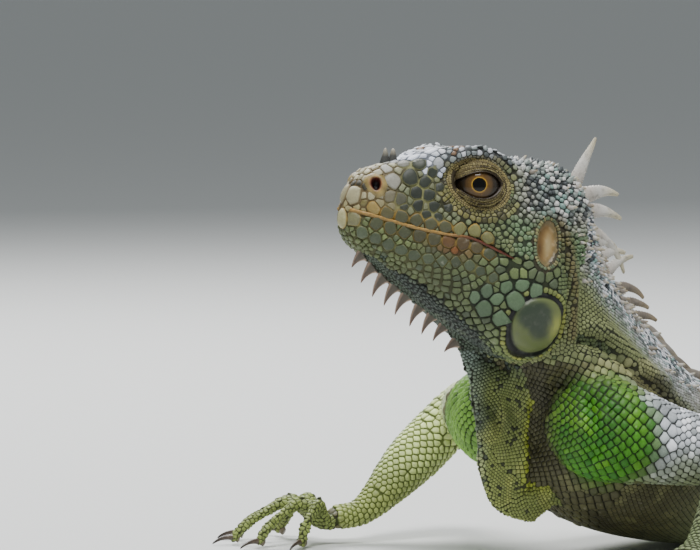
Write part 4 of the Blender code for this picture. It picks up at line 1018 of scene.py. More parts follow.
dress(nose, "7A6642", ("B2AC90",), ("BDBDB8", snout & (rise > 0.0095), 0.75),
      ("6E6448", (chance < 0.3) * ~snout, 0.75), ("33322A", (chance < 0.12) * ~snout, 0.85),
      ("4A4234", patch(forward, rise, (-0.0100, 0.0050), (0.0028, 0.0026)), 0.8),
      ("A59A62", ramp(-rise, -0.006, -0.002), 0.6))
dress(zone == "brow", "29251A", ("6E6B40",), ("77725E", ramp(rise, 0.012, 0.022), 0.8),
      ("5F7355", ramp(-forward, 0.040, 0.050), 0.7), ("8B8558", ramp(fine, 0.45, 0.8), 0.7),
      ("3C3A26", chance < 0.25, 0.7))
BROW_LINE = metres(((-23.3, 18.3), (-28.4, 22.4), (-33.7, 25.1), (-39.6, 26.1), (-43.9, 26.2), (-47, 24.5)))
over_brow = upper * ramp(rise - height_on(BROW_LINE, forward), -0.0012, 0.0004)
over_brow = over_brow * ramp(-forward, 0.022, 0.025) * ramp(forward, -0.050, -0.046)
dress(over_brow, None, ("8E9698", 1, 0.9), ("E2E4EA", chance < 0.40, 0.85), ("404546", chance > 0.76, 0.85),
      ("76583C", ramp(forward, -0.036, -0.029) * (chance > 0.84), 0.8))
paint(rim, over_brow, "2B3032", 0.9)
dress(zone == "upper_lip", "C09A44", ("53543C",), ("8C8A5A", ramp(-forward, 0.029, 0.036), 0.7),
      ("B89F63", ramp(forward, -0.012, -0.007), 0.8))
dress(zone == "lower_lip", "B09348", ("4A4E38",), ("B3AE84", ramp(forward, -0.004, 0.000)))
dress(zone == "jaw", "8E8E58", ("505944",))
stain = patch(forward, rise, (-0.033, -0.0048), (0.0075, 0.0020)) * ramp(mottle(place, 0.004, 5), 0.3, 0.6)
dress(head, None, ("7A4422", stain, 0.8))
blot = patch(forward, rise, (-0.0345, -0.0062), (0.0022, 0.0016)) * head
paint(tint, blot, "7A4C2A", 0.95)
paint(rim, blot, "703C1C", 0.9)
lid_share = oval_reach(in_head, LID_CENTRE, LID_HALF)
dress(zone == "lid", "30261A", ("857A50",), ("9C9263", ramp(fine, 0.4, 0.8), 0.7),
      ("584A2C", ramp(np.sin(lid_share * 36 + 1.5), 0.2, 0.9), 0.8),
      ("4A3A22", ramp(-lid_share, -0.66, -0.50), 0.8))
dress(zone == "cheek", "151C10", ("647A5C",), ("566552", ramp(fine, 0.3, 0.7), 0.6))
ring = zone == "ring"
dress(ring, "14170D", ("7F8852",), ("A3A85C", chance < 0.3))
dress(ring & (rise > -0.010), "3A3020", ("86835C",), ("6C7A5C", chance < 0.5))
behind_cheek = np.exp(-(line_distance(in_head[:, [0, 2]], BEHIND_CHEEK) / 0.0016) ** 2)
behind_cheek = behind_cheek * (head | trunk) * (rise < 0.012)
paint(tint, behind_cheek, "6E6040", 0.7)
paint(rim, behind_cheek, "33281A", 0.8)

shade = np.clip(1 + 0.40 * (chance - 0.5) + 0.34 * (patches - 0.5), 0.5, 1.4)[:, None]
grey = tint.mean(1, keepdims=True)
tint = np.clip((grey + (tint - grey) * 1.12) * shade * (0.78 + 0.18 * ramp(grey, 0.40, 0.75)), 0, 1)
rim = rim * 0.75

# The scales -----------------------------------------------------------
# Thin horny plates that meet edge to edge over the skin. Each fills the room between its neighbours, stands a
# little proud, and lies with its free edge backward. They are cast in pieces by region of the body.

NEIGHBOURS, COMPASS, WALLS = 16, 32, 8
LEAST_SHARE, WALL_REACH = 0.22, 1.32  # of the way to a neighbour, and of the half width
BATCH = 6000  # scales worked out at a time
lie = np.array(roots["lie"])
lie = unit(lie - (lie * normal).sum(1, keepdims=True) * normal)
across = np.cross(normal, lie)
tree = tree_of(place)
near_by = np.array([[j for _, j, _ in tree.find_n(spot, NEIGHBOURS + 1)][1:] for spot in place])
apart = place[near_by] - place[:, None]
distance = np.linalg.norm(apart, axis=2)
drop = np.einsum("nkc,nc->nk", apart, normal)
bearing = np.arctan2(np.einsum("nkc,nc->nk", apart, across), np.einsum("nkc,nc->nk", apart, lie))
border = (distance**2 + half[:, None] ** 2 - half[near_by] ** 2) / (2 * distance)
border = np.clip(border, LEAST_SHARE * distance, (1 - LEAST_SHARE) * distance)
turned_away = np.einsum("nkc,nc->nk", normal[near_by], normal) < -0.1
border[turned_away] = 1.0
# walls keep a scale from spreading too far where it has no neighbour
bearing = np.hstack([bearing, np.tile(np.arange(WALLS) * math.tau / WALLS + 0.2, (count, 1))])
border = np.hstack([border, np.repeat(half[:, None] * WALL_REACH, WALLS, axis=1)])
drop = np.hstack([np.clip(drop, -0.7 * distance, 0.35 * distance), np.zeros((count, WALLS))])
distance = np.hstack([distance, np.ones((count, WALLS))])
compass = np.arange(COMPASS) * math.tau / COMPASS
met = np.zeros((count, COMPASS), int)
reach = np.zeros((count, COMPASS))
for start in range(0, count, BATCH):
    part = slice(start, start + BATCH)
    facing = np.cos(compass[None, :, None] - bearing[part, None, :])
    found = np.where(facing > 0.08, border[part, None, :] / np.maximum(facing, 0.08), 9.0)
    met[part] = found.argmin(2)
    reach[part] = found.min(2)
after = np.roll(met, -1, axis=1)
cell, step = np.nonzero(met != after)
one, two = met[cell, step], after[cell, step]
angle_one, angle_two = bearing[cell, one], bearing[cell, two]
wide_one, wide_two = border[cell, one], border[cell, two]
turn = np.sin(angle_two - angle_one)
turn = np.where(np.abs(turn) < 0.05, 0.05 * np.sign(turn + 1e-9), turn)
corner = np.stack([(wide_one * np.sin(angle_two) - wide_two * np.sin(angle_one)) / turn,
                   (wide_two * np.cos(angle_one) - wide_one * np.cos(angle_two)) / turn], axis=1)
size = np.linalg.norm(corner, axis=1)
limit = 1.3 * np.maximum(reach[cell, step], np.roll(reach, -1, axis=1)[cell, step])
corner *= np.minimum(1, limit / size)[:, None]
size = np.minimum(size, limit)
sag = [drop[cell, k] * (size / distance[cell, k]) ** 2 for k in (one, two)]
corner = np.column_stack([corner, np.clip((sag[0] + sag[1]) / 2, -0.8 * size, 0.3 * size)])
sides = np.bincount(cell, minlength=count)
first_corner = np.concatenate([[0], np.cumsum(sides)[:-1]])

ATLAS = 0.003  # the width of one scale on the unwrap
SEAT = -0.00042  # how deep a scale's foot is in the skin
body_axis = smooth_rows(body_rows()[:, :3], 12)
axis_along = run_of(body_axis)
axis_tree = tree_of(body_axis)


def unwrapped(places, normals):
    """Where places of the skin fall on its unwrap: the length of the body one way, the way round it the other."""
    nearest = np.array([axis_tree.find(p)[1] for p in places])
    around = np.arctan2(normals[:, 1], normals[:, 2]) / math.tau + 0.5
    return np.column_stack([0.01 + 0.97 * axis_along[nearest] / axis_along[-1], 0.01 + 0.97 * around])


root_uv = unwrapped(place, normal)
NECK_END = 0.060  # how far back the neck's pieces of the coat reach
HIND_START = 0.09
TAIL_SPLIT = 0.30
region_names = np.array(["coat_tail"] * count, dtype=object)
for name, chosen in (("fan", fan), ("head", head), ("tail_end", tail & (tail_share > TAIL_SPLIT))):
    region_names[chosen] = f"coat_{name}"
for name, chosen in (("fore", arm | digit & (x < HIND_START)), ("hind", leg | digit & (x >= HIND_START)),
                     ("neck", trunk & (x < NECK_END)), ("flank", trunk & (x >= NECK_END))):
    region_names[chosen & (y < 0)] = f"coat_{name}_left"
    region_names[chosen & (y >= 0)] = f"coat_{name}_right"

# share of the outline, share of the height (none at the foot, in the skin) and wear, from the rim in
ROUND_PROFILE = ((1.0, None, 1.0), (0.985, 0.45, 0.62), (0.80, 0.88, 0.10), (0.42, 1.0, 0.0))
LOW_PROFILE = ((1.0, None, 1.0), (0.96, 0.5, 0.55), (0.58, 0.95, 0.05))
MOST_SIDES = 12


def store(mesh, name, values, vectors=False):
    """Gives each point of a mesh a number, a colour or a vector."""
    values = np.asarray(values, float)
    if values.ndim == 1:
        kind_of, key = "FLOAT", "value"
    elif vectors:
        kind_of, key = "FLOAT_VECTOR", "vector"
    else:
        kind_of, key, values = "FLOAT_COLOR", "color", np.column_stack([values, np.ones(len(values))])
    mesh.attributes.new(name, kind_of, "POINT").data.foreach_set(key, values.ravel())


def cast(chosen, m, profile, height, lean, keel, groove, rounded):
    """The points of scales of one kind and number of sides in their own axes, ring by ring from the foot to the
    single point on top."""
    outline = corner[first_corner[chosen][:, None] + np.arange(m)]
    if rounded:
        middles = (outline + np.roll(outline, -1, axis=1)) / 2
        outline = np.stack([outline * 0.93, middles], axis=2).reshape(len(chosen), 2 * m, 3)
    scale = half[chosen][:, None]
    gap = np.clip(groove * scale / np.linalg.norm(outline[:, :, :2], axis=2), 0, 0.4)
    layers = []
    for share, up, _ in profile:
        flat = outline[:, :, :2] * ((1 - gap) * share)[..., None]
        slope = lean * flat[:, :, 0]
        lift = SEAT + 0 * slope if up is None else up * height * scale + slope
        layers.append(np.dstack([flat, outline[:, :, 2] * share**2 + lift]))
    ridge = 0.35 * keel
    top = np.column_stack([scale * ridge, 0 * scale, scale * (height * (1.04 + 0.9 * keel) + lean * ridge)])
    return np.concatenate([*layers, top[:, None]], axis=1)


coat_pieces = []
for region in sorted(set(region_names)):
    verts, faces, uvs, total = [], [], [], 0
    looks = {"tint": [], "rim": [], "edge": [], "grain": []}
    for number, (height, lean, keel, groove, rounded) in enumerate(KINDS.values()):
        for m in range(3, MOST_SIDES + 1):
            chosen = np.nonzero((region_names == region) & (kind == number) & (sides == m))[0]
            if not len(chosen):
                continue
            profile = ROUND_PROFILE if rounded else LOW_PROFILE
            local = cast(chosen, m, profile, height, lean, keel, groove, rounded)
            spots = place[chosen][:, None]
            for c, axis in enumerate((lie, across, normal)):
                spots = spots + local[:, :, c : c + 1] * axis[chosen][:, None]
            per = local.shape[1]
            n = per // len(profile)
            base = total + np.arange(len(chosen))[:, None] * per
            k = np.arange(n)
            nxt = (k + 1) % n
            for quads in np.array(ring_faces(len(profile), n)).reshape(-1, n, 4):
                faces.append((base[:, :, None] + quads[None]).reshape(-1, 4))
            last = (len(profile) - 1) * n
            fan_faces = np.stack([last + k, last + nxt, np.full(n, per - 1)], axis=1)
            faces.append((base[:, :, None] + fan_faces[None]).reshape(-1, 3))
            faces.append(base + k[::-1][None])
            verts.append(spots.reshape(-1, 3))
            edge = np.concatenate([np.full(n, wear) for _, _, wear in profile] + [[0.0]])
            looks["edge"].append(np.tile(edge, len(chosen)))
            looks["tint"].append(np.repeat(tint[chosen], per, axis=0))
            looks["rim"].append(np.repeat(rim[chosen], per, axis=0))
            looks["grain"].append(np.repeat(rng.random(len(chosen)), per))
            spread = np.clip(local[:, :, :2] / (half[chosen][:, None, None] * 3.2), -0.5, 0.5) * ATLAS
            uvs.append((root_uv[chosen][:, None] + spread).reshape(-1, 2))
            total += len(chosen) * per
    verts = np.concatenate(verts)
    verts[:, 2] = np.maximum(verts[:, 2], 0.0)
    mesh = bpy.data.meshes.new(region)
    corners = np.concatenate([f.ravel() for f in faces])
    lengths = np.concatenate([np.full(len(f), f.shape[1]) for f in faces])
    mesh.vertices.add(len(verts))
    mesh.vertices.foreach_set("co", (verts + np.array(home)).ravel())
    mesh.loops.add(len(corners))
    mesh.loops.foreach_set("vertex_index", corners)
    mesh.polygons.add(len(lengths))
    mesh.polygons.foreach_set("loop_start", np.concatenate([[0], np.cumsum(lengths)[:-1]]))
    mesh.polygons.foreach_set("use_smooth", np.ones(len(lengths), bool))
    mesh.update(calc_edges=True)
    for name, values in looks.items():
        store(mesh, name, np.concatenate(values))
    layer = mesh.uv_layers.new(name="OFBake")
    layer.data.foreach_set("uv", np.clip(np.concatenate(uvs), 0.002, 0.998)[corners].ravel())
    piece = bpy.data.objects.new(region, mesh)
    show(piece)
    coat_pieces.append(piece)


class Wire:
    """A socket of a node tree. Sums and products of wires add the nodes that work them out."""

    def __init__(self, tree, socket):
        self.tree, self.socket = tree, socket

    def node(self, kind, settings, values, output=0):
        """Adds a node of any type: its settings first, then numbers or wires for its inputs."""
        made = self.tree.nodes.new(kind)
        for key, value in settings.items():
            setattr(made, key, value)
        for key, value in values.items():
            if isinstance(value, Wire):
                self.tree.links.new(value.socket, made.inputs[key])
            else:
                made.inputs[key].default_value = value
        return Wire(self.tree, made.outputs[output])

    def maths(self, operation, *values):
        return self.node("ShaderNodeMath", {"operation": operation}, dict(enumerate(values)))

    def __add__(self, other):
        return self.maths("ADD", self, other)

    def __sub__(self, other):
        return self.maths("SUBTRACT", self, other)

    def __mul__(self, other):
        return self.maths("MULTIPLY", self, other)

    __radd__, __rmul__ = __add__, __mul__

    def noise(self, scale, detail=3.0, roughness=0.55):
        """Noise over this wire's places."""
        return self.node("ShaderNodeTexNoise", {},
                         {"Vector": self, "Scale": scale, "Detail": detail, "Roughness": roughness})

    def through(self, *stops):
        """The colour at this value on a scale of stops, each a position and its red, green and blue."""
        found = self.node("ShaderNodeValToRGB", {}, {"Fac": self})
        scale = found.socket.node.color_ramp.elements
        while len(scale) < len(stops):
            scale.new(0.5)
        for stop, (position, *colour) in zip(scale, stops):
            stop.position, stop.color = position, (*colour, 1)
        return found

    def ramped(self, low, high, to_low=0.0, to_high=1.0):
        return self.node("ShaderNodeMapRange", {"interpolation_type": "SMOOTHSTEP"},
                         {"Value": self, "From Min": low, "From Max": high, "To Min": to_low, "To Max": to_high})

    def mixed(self, other, factor, blend="MIX"):
        """This colour with another laid over it."""
        found = self.tree.nodes.new("ShaderNodeMix")
        found.data_type, found.blend_type = "RGBA", blend
        for socket, value in ((found.inputs["Factor"], factor), (found.inputs[6], self),
                              (found.inputs[7], other)):
            if isinstance(value, Wire):
                self.tree.links.new(value.socket, socket)
            else:
                socket.default_value = value
        return Wire(self.tree, found.outputs[2])


def new_material(name, **constants):
    """A material with its constant sockets set, and a wire from its object coordinates."""
    material = bpy.data.materials.new(name)
    material.use_nodes = True
    shader = material.node_tree.nodes["Principled BSDF"]
    for socket, value in constants.items():
        shader.inputs[socket.replace("_", " ")].default_value = value
    coordinates = material.node_tree.nodes.new("ShaderNodeTexCoord")
    return material, Wire(material.node_tree, coordinates.outputs["Object"])


def finish_material(material, colour, roughness, height=None, strength=0.3, distance=0.0002):
    shader = material.node_tree.nodes["Principled BSDF"]
    links = material.node_tree.links
    links.new(colour.socket, shader.inputs["Base Color"])
    links.new(roughness.socket, shader.inputs["Roughness"])
    if height:
        bump = height.node("ShaderNodeBump", {}, {"Height": height, "Strength": strength, "Distance": distance})
        links.new(bump.socket, shader.inputs["Normal"])


def attribute(wire, name, output="Color"):
    return wire.node("ShaderNodeAttribute", {"attribute_name": name}, {}, output)


coat_material, spots = new_material("scale_horn", Specular_IOR_Level=0.45)
edge, grain = attribute(spots, "edge", "Fac"), attribute(spots, "grain", "Fac")
speckle = spots.noise(1600, 2.0)
scuffs = spots.noise(420, 4.0)
grey_speckle = speckle.node("ShaderNodeCombineColor", {}, dict.fromkeys((0, 1, 2), speckle))
own = attribute(spots, "tint").mixed(grey_speckle, 0.28, "OVERLAY")
own = own.mixed((0.62, 0.60, 0.50, 1), scuffs.ramped(0.60, 0.82, 0.0, 0.30) * grain)
colour = own.mixed(attribute(spots, "rim"), edge.ramped(0.25, 0.9))
finish_material(coat_material, colour, 0.40 + 0.25 * scuffs + 0.2 * edge, speckle + scuffs, 0.35, 0.00012)
for piece in coat_pieces:
    piece.data.materials.append(coat_material)
    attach(piece, "root")

SKIN_KEPT = 0.68  # the share of the skin's faces that the coat doesn't make needless
nearest = np.array([tree.find(spot)[1] for spot in skin])
store(made, "tint", rim[nearest] * 0.7 + tint[nearest] * 0.10)
skin_object = bpy.data.objects.new("skin", made)
show(skin_object)
thinner = skin_object.modifiers.new("thinner", "DECIMATE")
thinner.ratio = SKIN_KEPT
thinned = finished_mesh(skin_object)
skin_object.modifiers.clear()
skin_object.data = thinned
thinned.transform(Matrix.Translation(home))
thinned.polygons.foreach_set("use_smooth", np.ones(len(thinned.polygons), bool))
skin_material, spots = new_material("soft_skin", Specular_IOR_Level=0.35)
creases = spots.noise(700, 4.0)
own = attribute(spots, "tint").mixed((0.05, 0.04, 0.02, 1), creases.ramped(0.5, 0.8, 0.0, 0.4))
finish_material(skin_material, own, 0.55 + 0.3 * creases, creases, 0.4, 0.0002)
thinned.materials.append(skin_material)
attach(skin_object, "root")
flesh_nodes = [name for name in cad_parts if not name.startswith(("eye_", "ear_", "cheek_shield_"))]
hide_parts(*flesh_nodes)

# The eyes -------------------------------------------------------------
# Two hard glossy balls set in the sockets, looking sideways and a little ahead. Each has a round black pupil
# in a thin gold ring, a brown iris with fine gold spokes, and a nearly black white of the eye.


def mesh_piece(name, points, faces, material, looks, out=None):
    """A smooth mesh object in the frame's own place, with an attribute for each of the looks. Where out is given,
    an open piece is turned to face that way."""
    mesh = bpy.data.meshes.new(name)
    points = np.asarray(points, float) + np.array(home)
    mesh.from_pydata(points.tolist(), [], [list(map(int, f)) for f in faces])
    mesh.polygons.foreach_set("use_smooth", np.ones(len(mesh.polygons), bool))
    for key, values in looks.items():
        store(mesh, key, values)
    mesh.validate()
    if out is not None and sum((f.normal * f.area for f in mesh.polygons), Vector()).dot(Vector(out)) < 0:
        mesh.flip_normals()
    mesh.materials.append(material)
    piece = bpy.data.objects.new(name, mesh)
    show(piece)
    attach(piece, "root")
    return piece


def disc_faces(rings, turns):
    """Faces of rings of points that run from a rim in to a last single point."""
    last = (rings - 1) * turns
    return ring_faces(rings, turns) + [(last + k, last + (k + 1) % turns, last + turns) for k in range(turns)]


EYE_RINGS, EYE_TURNS = 47, 72
SIDES = ((1, "left"), (-1, "right"))

eye_material, spots = new_material("eyeball", Coat_Weight=0.3, Coat_Roughness=0.03, Specular_IOR_Level=0.15)
from_axis = attribute(spots, "from_axis", "Fac")
spokes = attribute(spots, "spoke", "Vector").noise(9.0, 3.0)
wide = from_axis + 0.0005 * (spokes - 0.5)
iris = (wide * 100).through(  # by centimetres from the axis
    (0.0, 0.002, 0.002, 0.002), (0.212, 0.002, 0.002, 0.002), (0.226, 0.46, 0.27, 0.03),
                            (0.246, 0.21, 0.115, 0.025),
    (0.275, 0.090, 0.050, 0.016), (0.400, 0.060, 0.034, 0.013), (0.470, 0.020, 0.013, 0.006),
                            (0.60, 0.012, 0.008, 0.005))
gold = spokes.ramped(0.48, 0.75, 0, 0.45) * wide.ramped(0.0024, 0.003) * wide.ramped(0.0046, 0.0036)
finish_material(eye_material, iris.mixed((0.20, 0.10, 0.020, 1), gold), 0.10 + 0.1 * spokes)
for side, word in SIDES:
    axis = head_turn @ (EYE_AXIS * (1, side, 1))
    first = unit(np.cross(axis, (0, 0, 1)))
    second = np.cross(first, axis)
    centre = np.array(head_point(*np.array(EYE_CENTRE) * (1, side, 1)))
    points, reach, spoke = [], [], []
    for polar in np.linspace(math.pi, 0, EYE_RINGS + 2)[1:-1]:
        for k in range(EYE_TURNS):
            turn = math.tau * k / EYE_TURNS
            out = first * math.cos(turn) + second * math.sin(turn)
            points.append(centre + EYE_RADIUS * (axis * math.cos(polar) + out * math.sin(polar)))
            reach.append(EYE_RADIUS * math.sin(polar) if polar < math.pi / 2 else EYE_RADIUS)
            spoke.append((math.cos(turn) * 2, math.sin(turn) * 2, polar * 1.2))
    points += [centre + EYE_RADIUS * axis, centre - EYE_RADIUS * axis]
    faces = disc_faces(EYE_RINGS, EYE_TURNS)
    faces += [((k + 1) % EYE_TURNS, k, len(points) - 1) for k in range(EYE_TURNS)]
    eye = mesh_piece(f"eyeball_{word}", points, faces, eye_material, {"from_axis": reach + [0, EYE_RADIUS]})
    store(eye.data, "spoke", spoke + [(0, 0, 0)] * 2, vectors=True)
    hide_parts(f"eye_{word}")

# The lids and nostrils ------------------------------------------------
# Sleeves of thin olive skin, gathered in rings round each almond opening and beaded with the smallest scales,
# and the swollen yellow-brown ring round each nostril, dark red within and near-black at its bottom, which is
# painted shade of the opening. Both grow out of the skin of the head.

bare_material, spots = new_material("bare_skin", Specular_IOR_Level=0.5, Coat_Roughness=0.3)
pores, creases = spots.noise(2600, 2.0), spots.noise(600, 4.0)
own = attribute(spots, "tint").mixed((0.03, 0.02, 0.01, 1), creases.ramped(0.5, 0.8, 0.0, 0.35))
finish_material(bare_material, own, 0.32 + 0.3 * pores, pores + 2 * creases, 0.4, 0.00015)
for sleeve, word in zip(lid_sleeves, ("left", "right")):
    share = np.repeat(np.arange(LID_STEPS + 1) / LID_STEPS, LID_TURNS)
    colour = np.tile(dye("5F5536"), (len(share), 1))
    paint(colour, ramp(-share, -0.14, -0.03), "33261A")
    paint(colour, 0.5 + 0.5 * np.sin(share * math.tau * 5 - 1.2), "3E3420", 0.6)
    outward_way = head_turn @ np.array((0, 1 if word == "left" else -1, 0))
    lids = mesh_piece(f"lids_{word}", sleeve.reshape(-1, 3), lid_faces, bare_material, {"tint": colour},
                      outward_way)

# half width and height in millimetres, and colour; the inner rings and the middle point go from the lining's own
# dark red to near-black, which is painted shade of the opening
NOSTRIL_RINGS = ((4.1, -0.9, "7E7450"), (3.9, 0.1, "8C7E54"), (3.4, 0.85, "948250"), (2.7, 1.35, "9A844C"),
                 (2.05, 1.50, "8E6C3E"), (1.55, 1.20, "643222"), (1.28, 0.4, "421812"), (1.0, -1.2, "220A08"))
NOSTRIL_EDGES = ((0.0025, 0), (-0.0030, 0), (0, 0.0030), (0, -0.0034))  # ahead, behind, above and below
NOSTRIL_TURNS = 40
for side, word in SIDES:
    around = [on_side(NOSTRIL[0] + dx, NOSTRIL[1] + dz, side) for dx, dz in NOSTRIL_EDGES]
    spot = sum(around, Vector()) / 4
    ahead, top = unit(np.array(around[0] - around[1])), unit(np.array(around[2] - around[3]))
    out = unit(np.cross(ahead, top)) * -side
    out = out * np.sign(out @ (head_turn @ np.array((0, side, 0))))
    points, colour = [], []
    for reach, height, code in NOSTRIL_RINGS:
        for k in range(NOSTRIL_TURNS):
            turn = math.tau * k / NOSTRIL_TURNS
            sway = 1 + 0.05 * math.sin(3 * turn + 1) * (reach > 1.2)
            tall = 1.06 if reach > 2.0 else 1.35
            flat = (ahead * math.cos(turn) * reach + top * math.sin(turn) * reach * tall) * sway
            points.append(np.array(spot) + flat / 1000 + out * (height - 0.12 * (reach / 2.5) ** 2) / 1000)
            colour.append(dye(code) * (0.9 + 0.2 * math.sin(5 * turn)))
    points.append(np.array(spot) - out * 0.0013)
    colour.append(dye("120303"))
    faces = disc_faces(len(NOSTRIL_RINGS), NOSTRIL_TURNS)
    nostril = mesh_piece(f"nostril_{word}", points, faces, bare_material, {"tint": colour}, out)

# The lips -------------------------------------------------------------
# The free edges of the upper and lower lip: two soft cords of yellow-brown skin that meet at the mouth and turn
# red-brown toward its corner. They are part of the jaws' skin, bare of scales.

LIPS = (("upper", 0.00040, 0.00052, "9E7A38"), ("lower", -0.00062, 0.00036, "7F6432"))  # rise, girth, colour
LIP_START = 0.0028  # from the snout's tip
LIP_TURNS, LIP_PROUD = 10, 0.00075
for side, word in SIDES:
    for name, rise_by, girth, code in LIPS:
        path, shares = [], []
        for share in np.linspace(0.0, 1.0, 90):
            ahead, up = by_lip(share * (lip_along[-1] - LIP_START) + LIP_START, rise_by)
            spot = on_side(ahead, up, side)
            if spot:
                path.append(spot)
                shares.append(share)
        path = np.array(path)
        for _ in range(12):
            path[1:-1] = (path[:-2] + path[2:]) / 4 + path[1:-1] / 2
        path = smooth_rows(path[::6], 8)
        shares = np.interp(np.linspace(0, 1, len(path)), np.linspace(0, 1, len(shares)), shares)
        out = np.array([skin_tree.find_nearest(Vector(p))[1] for p in path])
        out = unit(np.array([out[max(0, i - 6) : i + 7].mean(0) for i in range(len(out))]))
        along = unit(np.gradient(path, axis=0))
        upward_way = unit(np.cross(along, out))
        points, colour = [], []
        for i, spot in enumerate(path):
            size = girth * (1 - 0.45 * shares[i]) * min(1, (1 - shares[i]) * 12 + 0.15)
            for turn in np.arange(LIP_TURNS) * math.tau / LIP_TURNS:
                round_it = out[i] * math.cos(turn) * 1.05 + upward_way[i] * math.sin(turn)
                points.append(spot + round_it * size + out[i] * LIP_PROUD)
            tone = np.array([dye(code)])
            paint(tone, [ramp(shares[i], 0.50, 0.75)], "5E2C1A")
            colour += [tone[0] * (0.85 + 0.3 * rng.random())] * LIP_TURNS
        faces = ring_faces(len(path), LIP_TURNS)
        faces += [range(LIP_TURNS - 1, -1, -1), range(len(points) - LIP_TURNS, len(points))]
        piece = mesh_piece(f"lip_{name}_{word}", points, faces, bare_material, {"tint": colour})

# The eardrums and cheek shields ---------------------------------------
# Each eardrum is a bare oval of thin skin, gold-brown and shiny, sunk behind the jaw with a faint boss where the
# ear bone joins it, with a painted highlight a little behind and below its middle. Each cheek shield is one great
# domed scale under it, in a black seam.


def organ(centre, half_size, side, profile, turns, wave, boss, tones):
    """Rings of points over the skin of the head's flank, each at its share of the outline and its height, their
    colours and faces, and the way out."""
    out = head_turn @ np.array((0, side, 0))
    points, colour = [], []
    for share, height in profile:
        for k in range(turns if share else 1):
            c, s = math.cos(math.tau * k / turns), math.sin(math.tau * k / turns)
            reach = share * (1 + wave * math.sin(3 * math.tau * k / turns + 0.6))
            spot = np.array(on_side(centre[0] + half_size[0] * reach * c, centre[1] + half_size[1] * reach * s,
                                    side))
            points.append(spot + out * (height / 1000 + boss
                                        * patch(share * c, share * s, (-0.10, 0.10), (0.30, 0.40))))
            colour.append(tones(share, share * c, share * s))
    return points, colour, disc_faces(len(profile) - 1, turns), out


# the paler patch a little behind and below the middle of each eardrum is a painted highlight
def drum_tones(share, ahead, up):
    tone = np.array([dye("6C5E3E" if share > 0.92 else "74582F")])
    inside = float(share < 0.92)
    paint(tone, [inside * patch(ahead, up, (-0.25, -0.10), (0.45, 0.60))], "B09E72", 0.8)
    paint(tone, [inside * patch(ahead, up, (0.60, -0.40), (0.35, 0.45))], "46301A", 0.75)
    return tone[0]


def shield_tones(share, ahead, up):
    tone = np.array([dye("5E683E")])
    turn = math.atan2(up - 0.20, ahead - 0.22)
    uneven = 1 + 0.13 * math.sin(2 * turn + 0.5) + 0.08 * math.sin(3 * turn + 2)
    reach = math.hypot(ahead - 0.22, up - 0.20) / uneven
    paint(tone, [ramp(-reach, -0.80, -0.52)], "2F3A2F", 0.94)
    paint(tone, [patch(ahead, up, (-0.68, 0.1), (0.26, 0.42))], "A6AA50", 0.85)
    paint(tone, [ramp(share, 0.97, 1.02)], "060708")
    return tone[0]


drum_material, spots = new_material("eardrum", Coat_Weight=0.05, Coat_Roughness=0.45, Specular_IOR_Level=0.25)
veins = spots.noise(380, 4.0)
own = attribute(spots, "tint").mixed((0.44, 0.36, 0.22, 1), veins.ramped(0.5, 0.75, 0, 0.5))
finish_material(drum_material, own, 0.22 + 0.25 * veins, veins, 0.25, 0.0002)
shield_material, spots = new_material("cheek_shield", Coat_Weight=0.08, Coat_Roughness=0.3,
                                      Specular_IOR_Level=0.3)
clouds, pits = spots.noise(420, 5.0), spots.noise(2400, 2.0)
own = attribute(spots, "tint").mixed((0.10, 0.11, 0.08, 1), clouds.ramped(0.48, 0.78, 0.0, 0.45))
finish_material(shield_material, own, 0.30 + 0.25 * pits, clouds + 0.5 * pits, 0.35, 0.0002)
# share of the outline and height in millimetres, from the rim in
DRUM_PROFILE = ((1.22, -0.7), (1.14, 0.02), (1.02, 0.12), (0.93, 0.18), (0.78, 0.26), (0.55, 0.30), (0.35, 0.30),
                (0.17, 0.30), (0, 0.30))
SHIELD_PROFILE = (
    (1.24, -0.6), (1.16, 0.55), (1.08, 0.75), (1.03, 0.65), (1.00, 0.85), (0.97, 1.10),
    (0.90, 1.25), (0.78, 1.40), (0.60, 1.52), (0.40, 1.60), (0.20, 1.64), (0, 1.65),
)
for side, word in SIDES:
    points, colour, faces, out = organ(EAR_CENTRE, EAR_HALF, side, DRUM_PROFILE, 44, 0.0, 0.0004, drum_tones)
    drum = mesh_piece(f"eardrum_{word}", points, faces, drum_material, {"tint": colour}, out)
    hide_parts(f"ear_{word}")
    points, colour, faces, out = organ(SHIELD_CENTRE, SHIELD_HALF, side, SHIELD_PROFILE, 72, 0.015, 0.0,
                                       shield_tones)
    shield = mesh_piece(f"cheek_shield_{word}_skin", points, faces, shield_material, {"tint": colour}, out)
    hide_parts(f"cheek_shield_{word}")

# The spines, spikes and horns -----------------------------------------
# Soft horny spines stand along the back, longest on the nape, where they are pale, wrinkled and droop at their
# tips. Flat brown teeth line the throat fan, and two small horns stand on the snout.

# place along the back, length, lean back and bend in degrees
NAPE_SPINES = (
    (0.0125, 0.0185, 3, -4), (0.0182, 0.0175, -4, 44), (0.0236, 0.0175, -2, 44), (0.0290, 0.0240, 24, 62),
    (0.0345, 0.0125, -8, 80), (0.0404, 0.0135, -8, 66), (0.0465, 0.0140, -6, 44), (0.0531, 0.0150, 18, 72),
    (0.0597, 0.0125, 32, 45), (0.0663, 0.0115, 36, 40),
)
NAPE_GIRTHS = metres((3.1, 3.3, 3, 2.1, 2.6, 2.4, 2.4, 2, 1.8, 1.8))
BROWN_FROM = 8  # the nape's last spines are brown
BACK_SPACING, TAIL_SPINES_END = 0.0082, 0.06
BACK_SPINE_LENGTH, RUMP_SPINE_LENGTH = 0.0115, 0.0050
SPINE_SINK, SPIKE_SINK, HORN_SINK = 0.0022, 0.0018, 0.001  # how deep each kind stands in the skin
# how far along the fan's free edge each of its teeth stands, and its length
FAN_SPIKES = metres(((1.8, 3.4), (7.6, 4.4), (13.2, 5.2), (18.4, 5.2), (23.6, 5.4), (30, 5.6), (35.4, 5.4),
                     (40.8, 4.6), (47.4, 3.6)))
SNOUT_HORNS = ((-0.0080, 0.0044), (-0.0107, 0.0038))


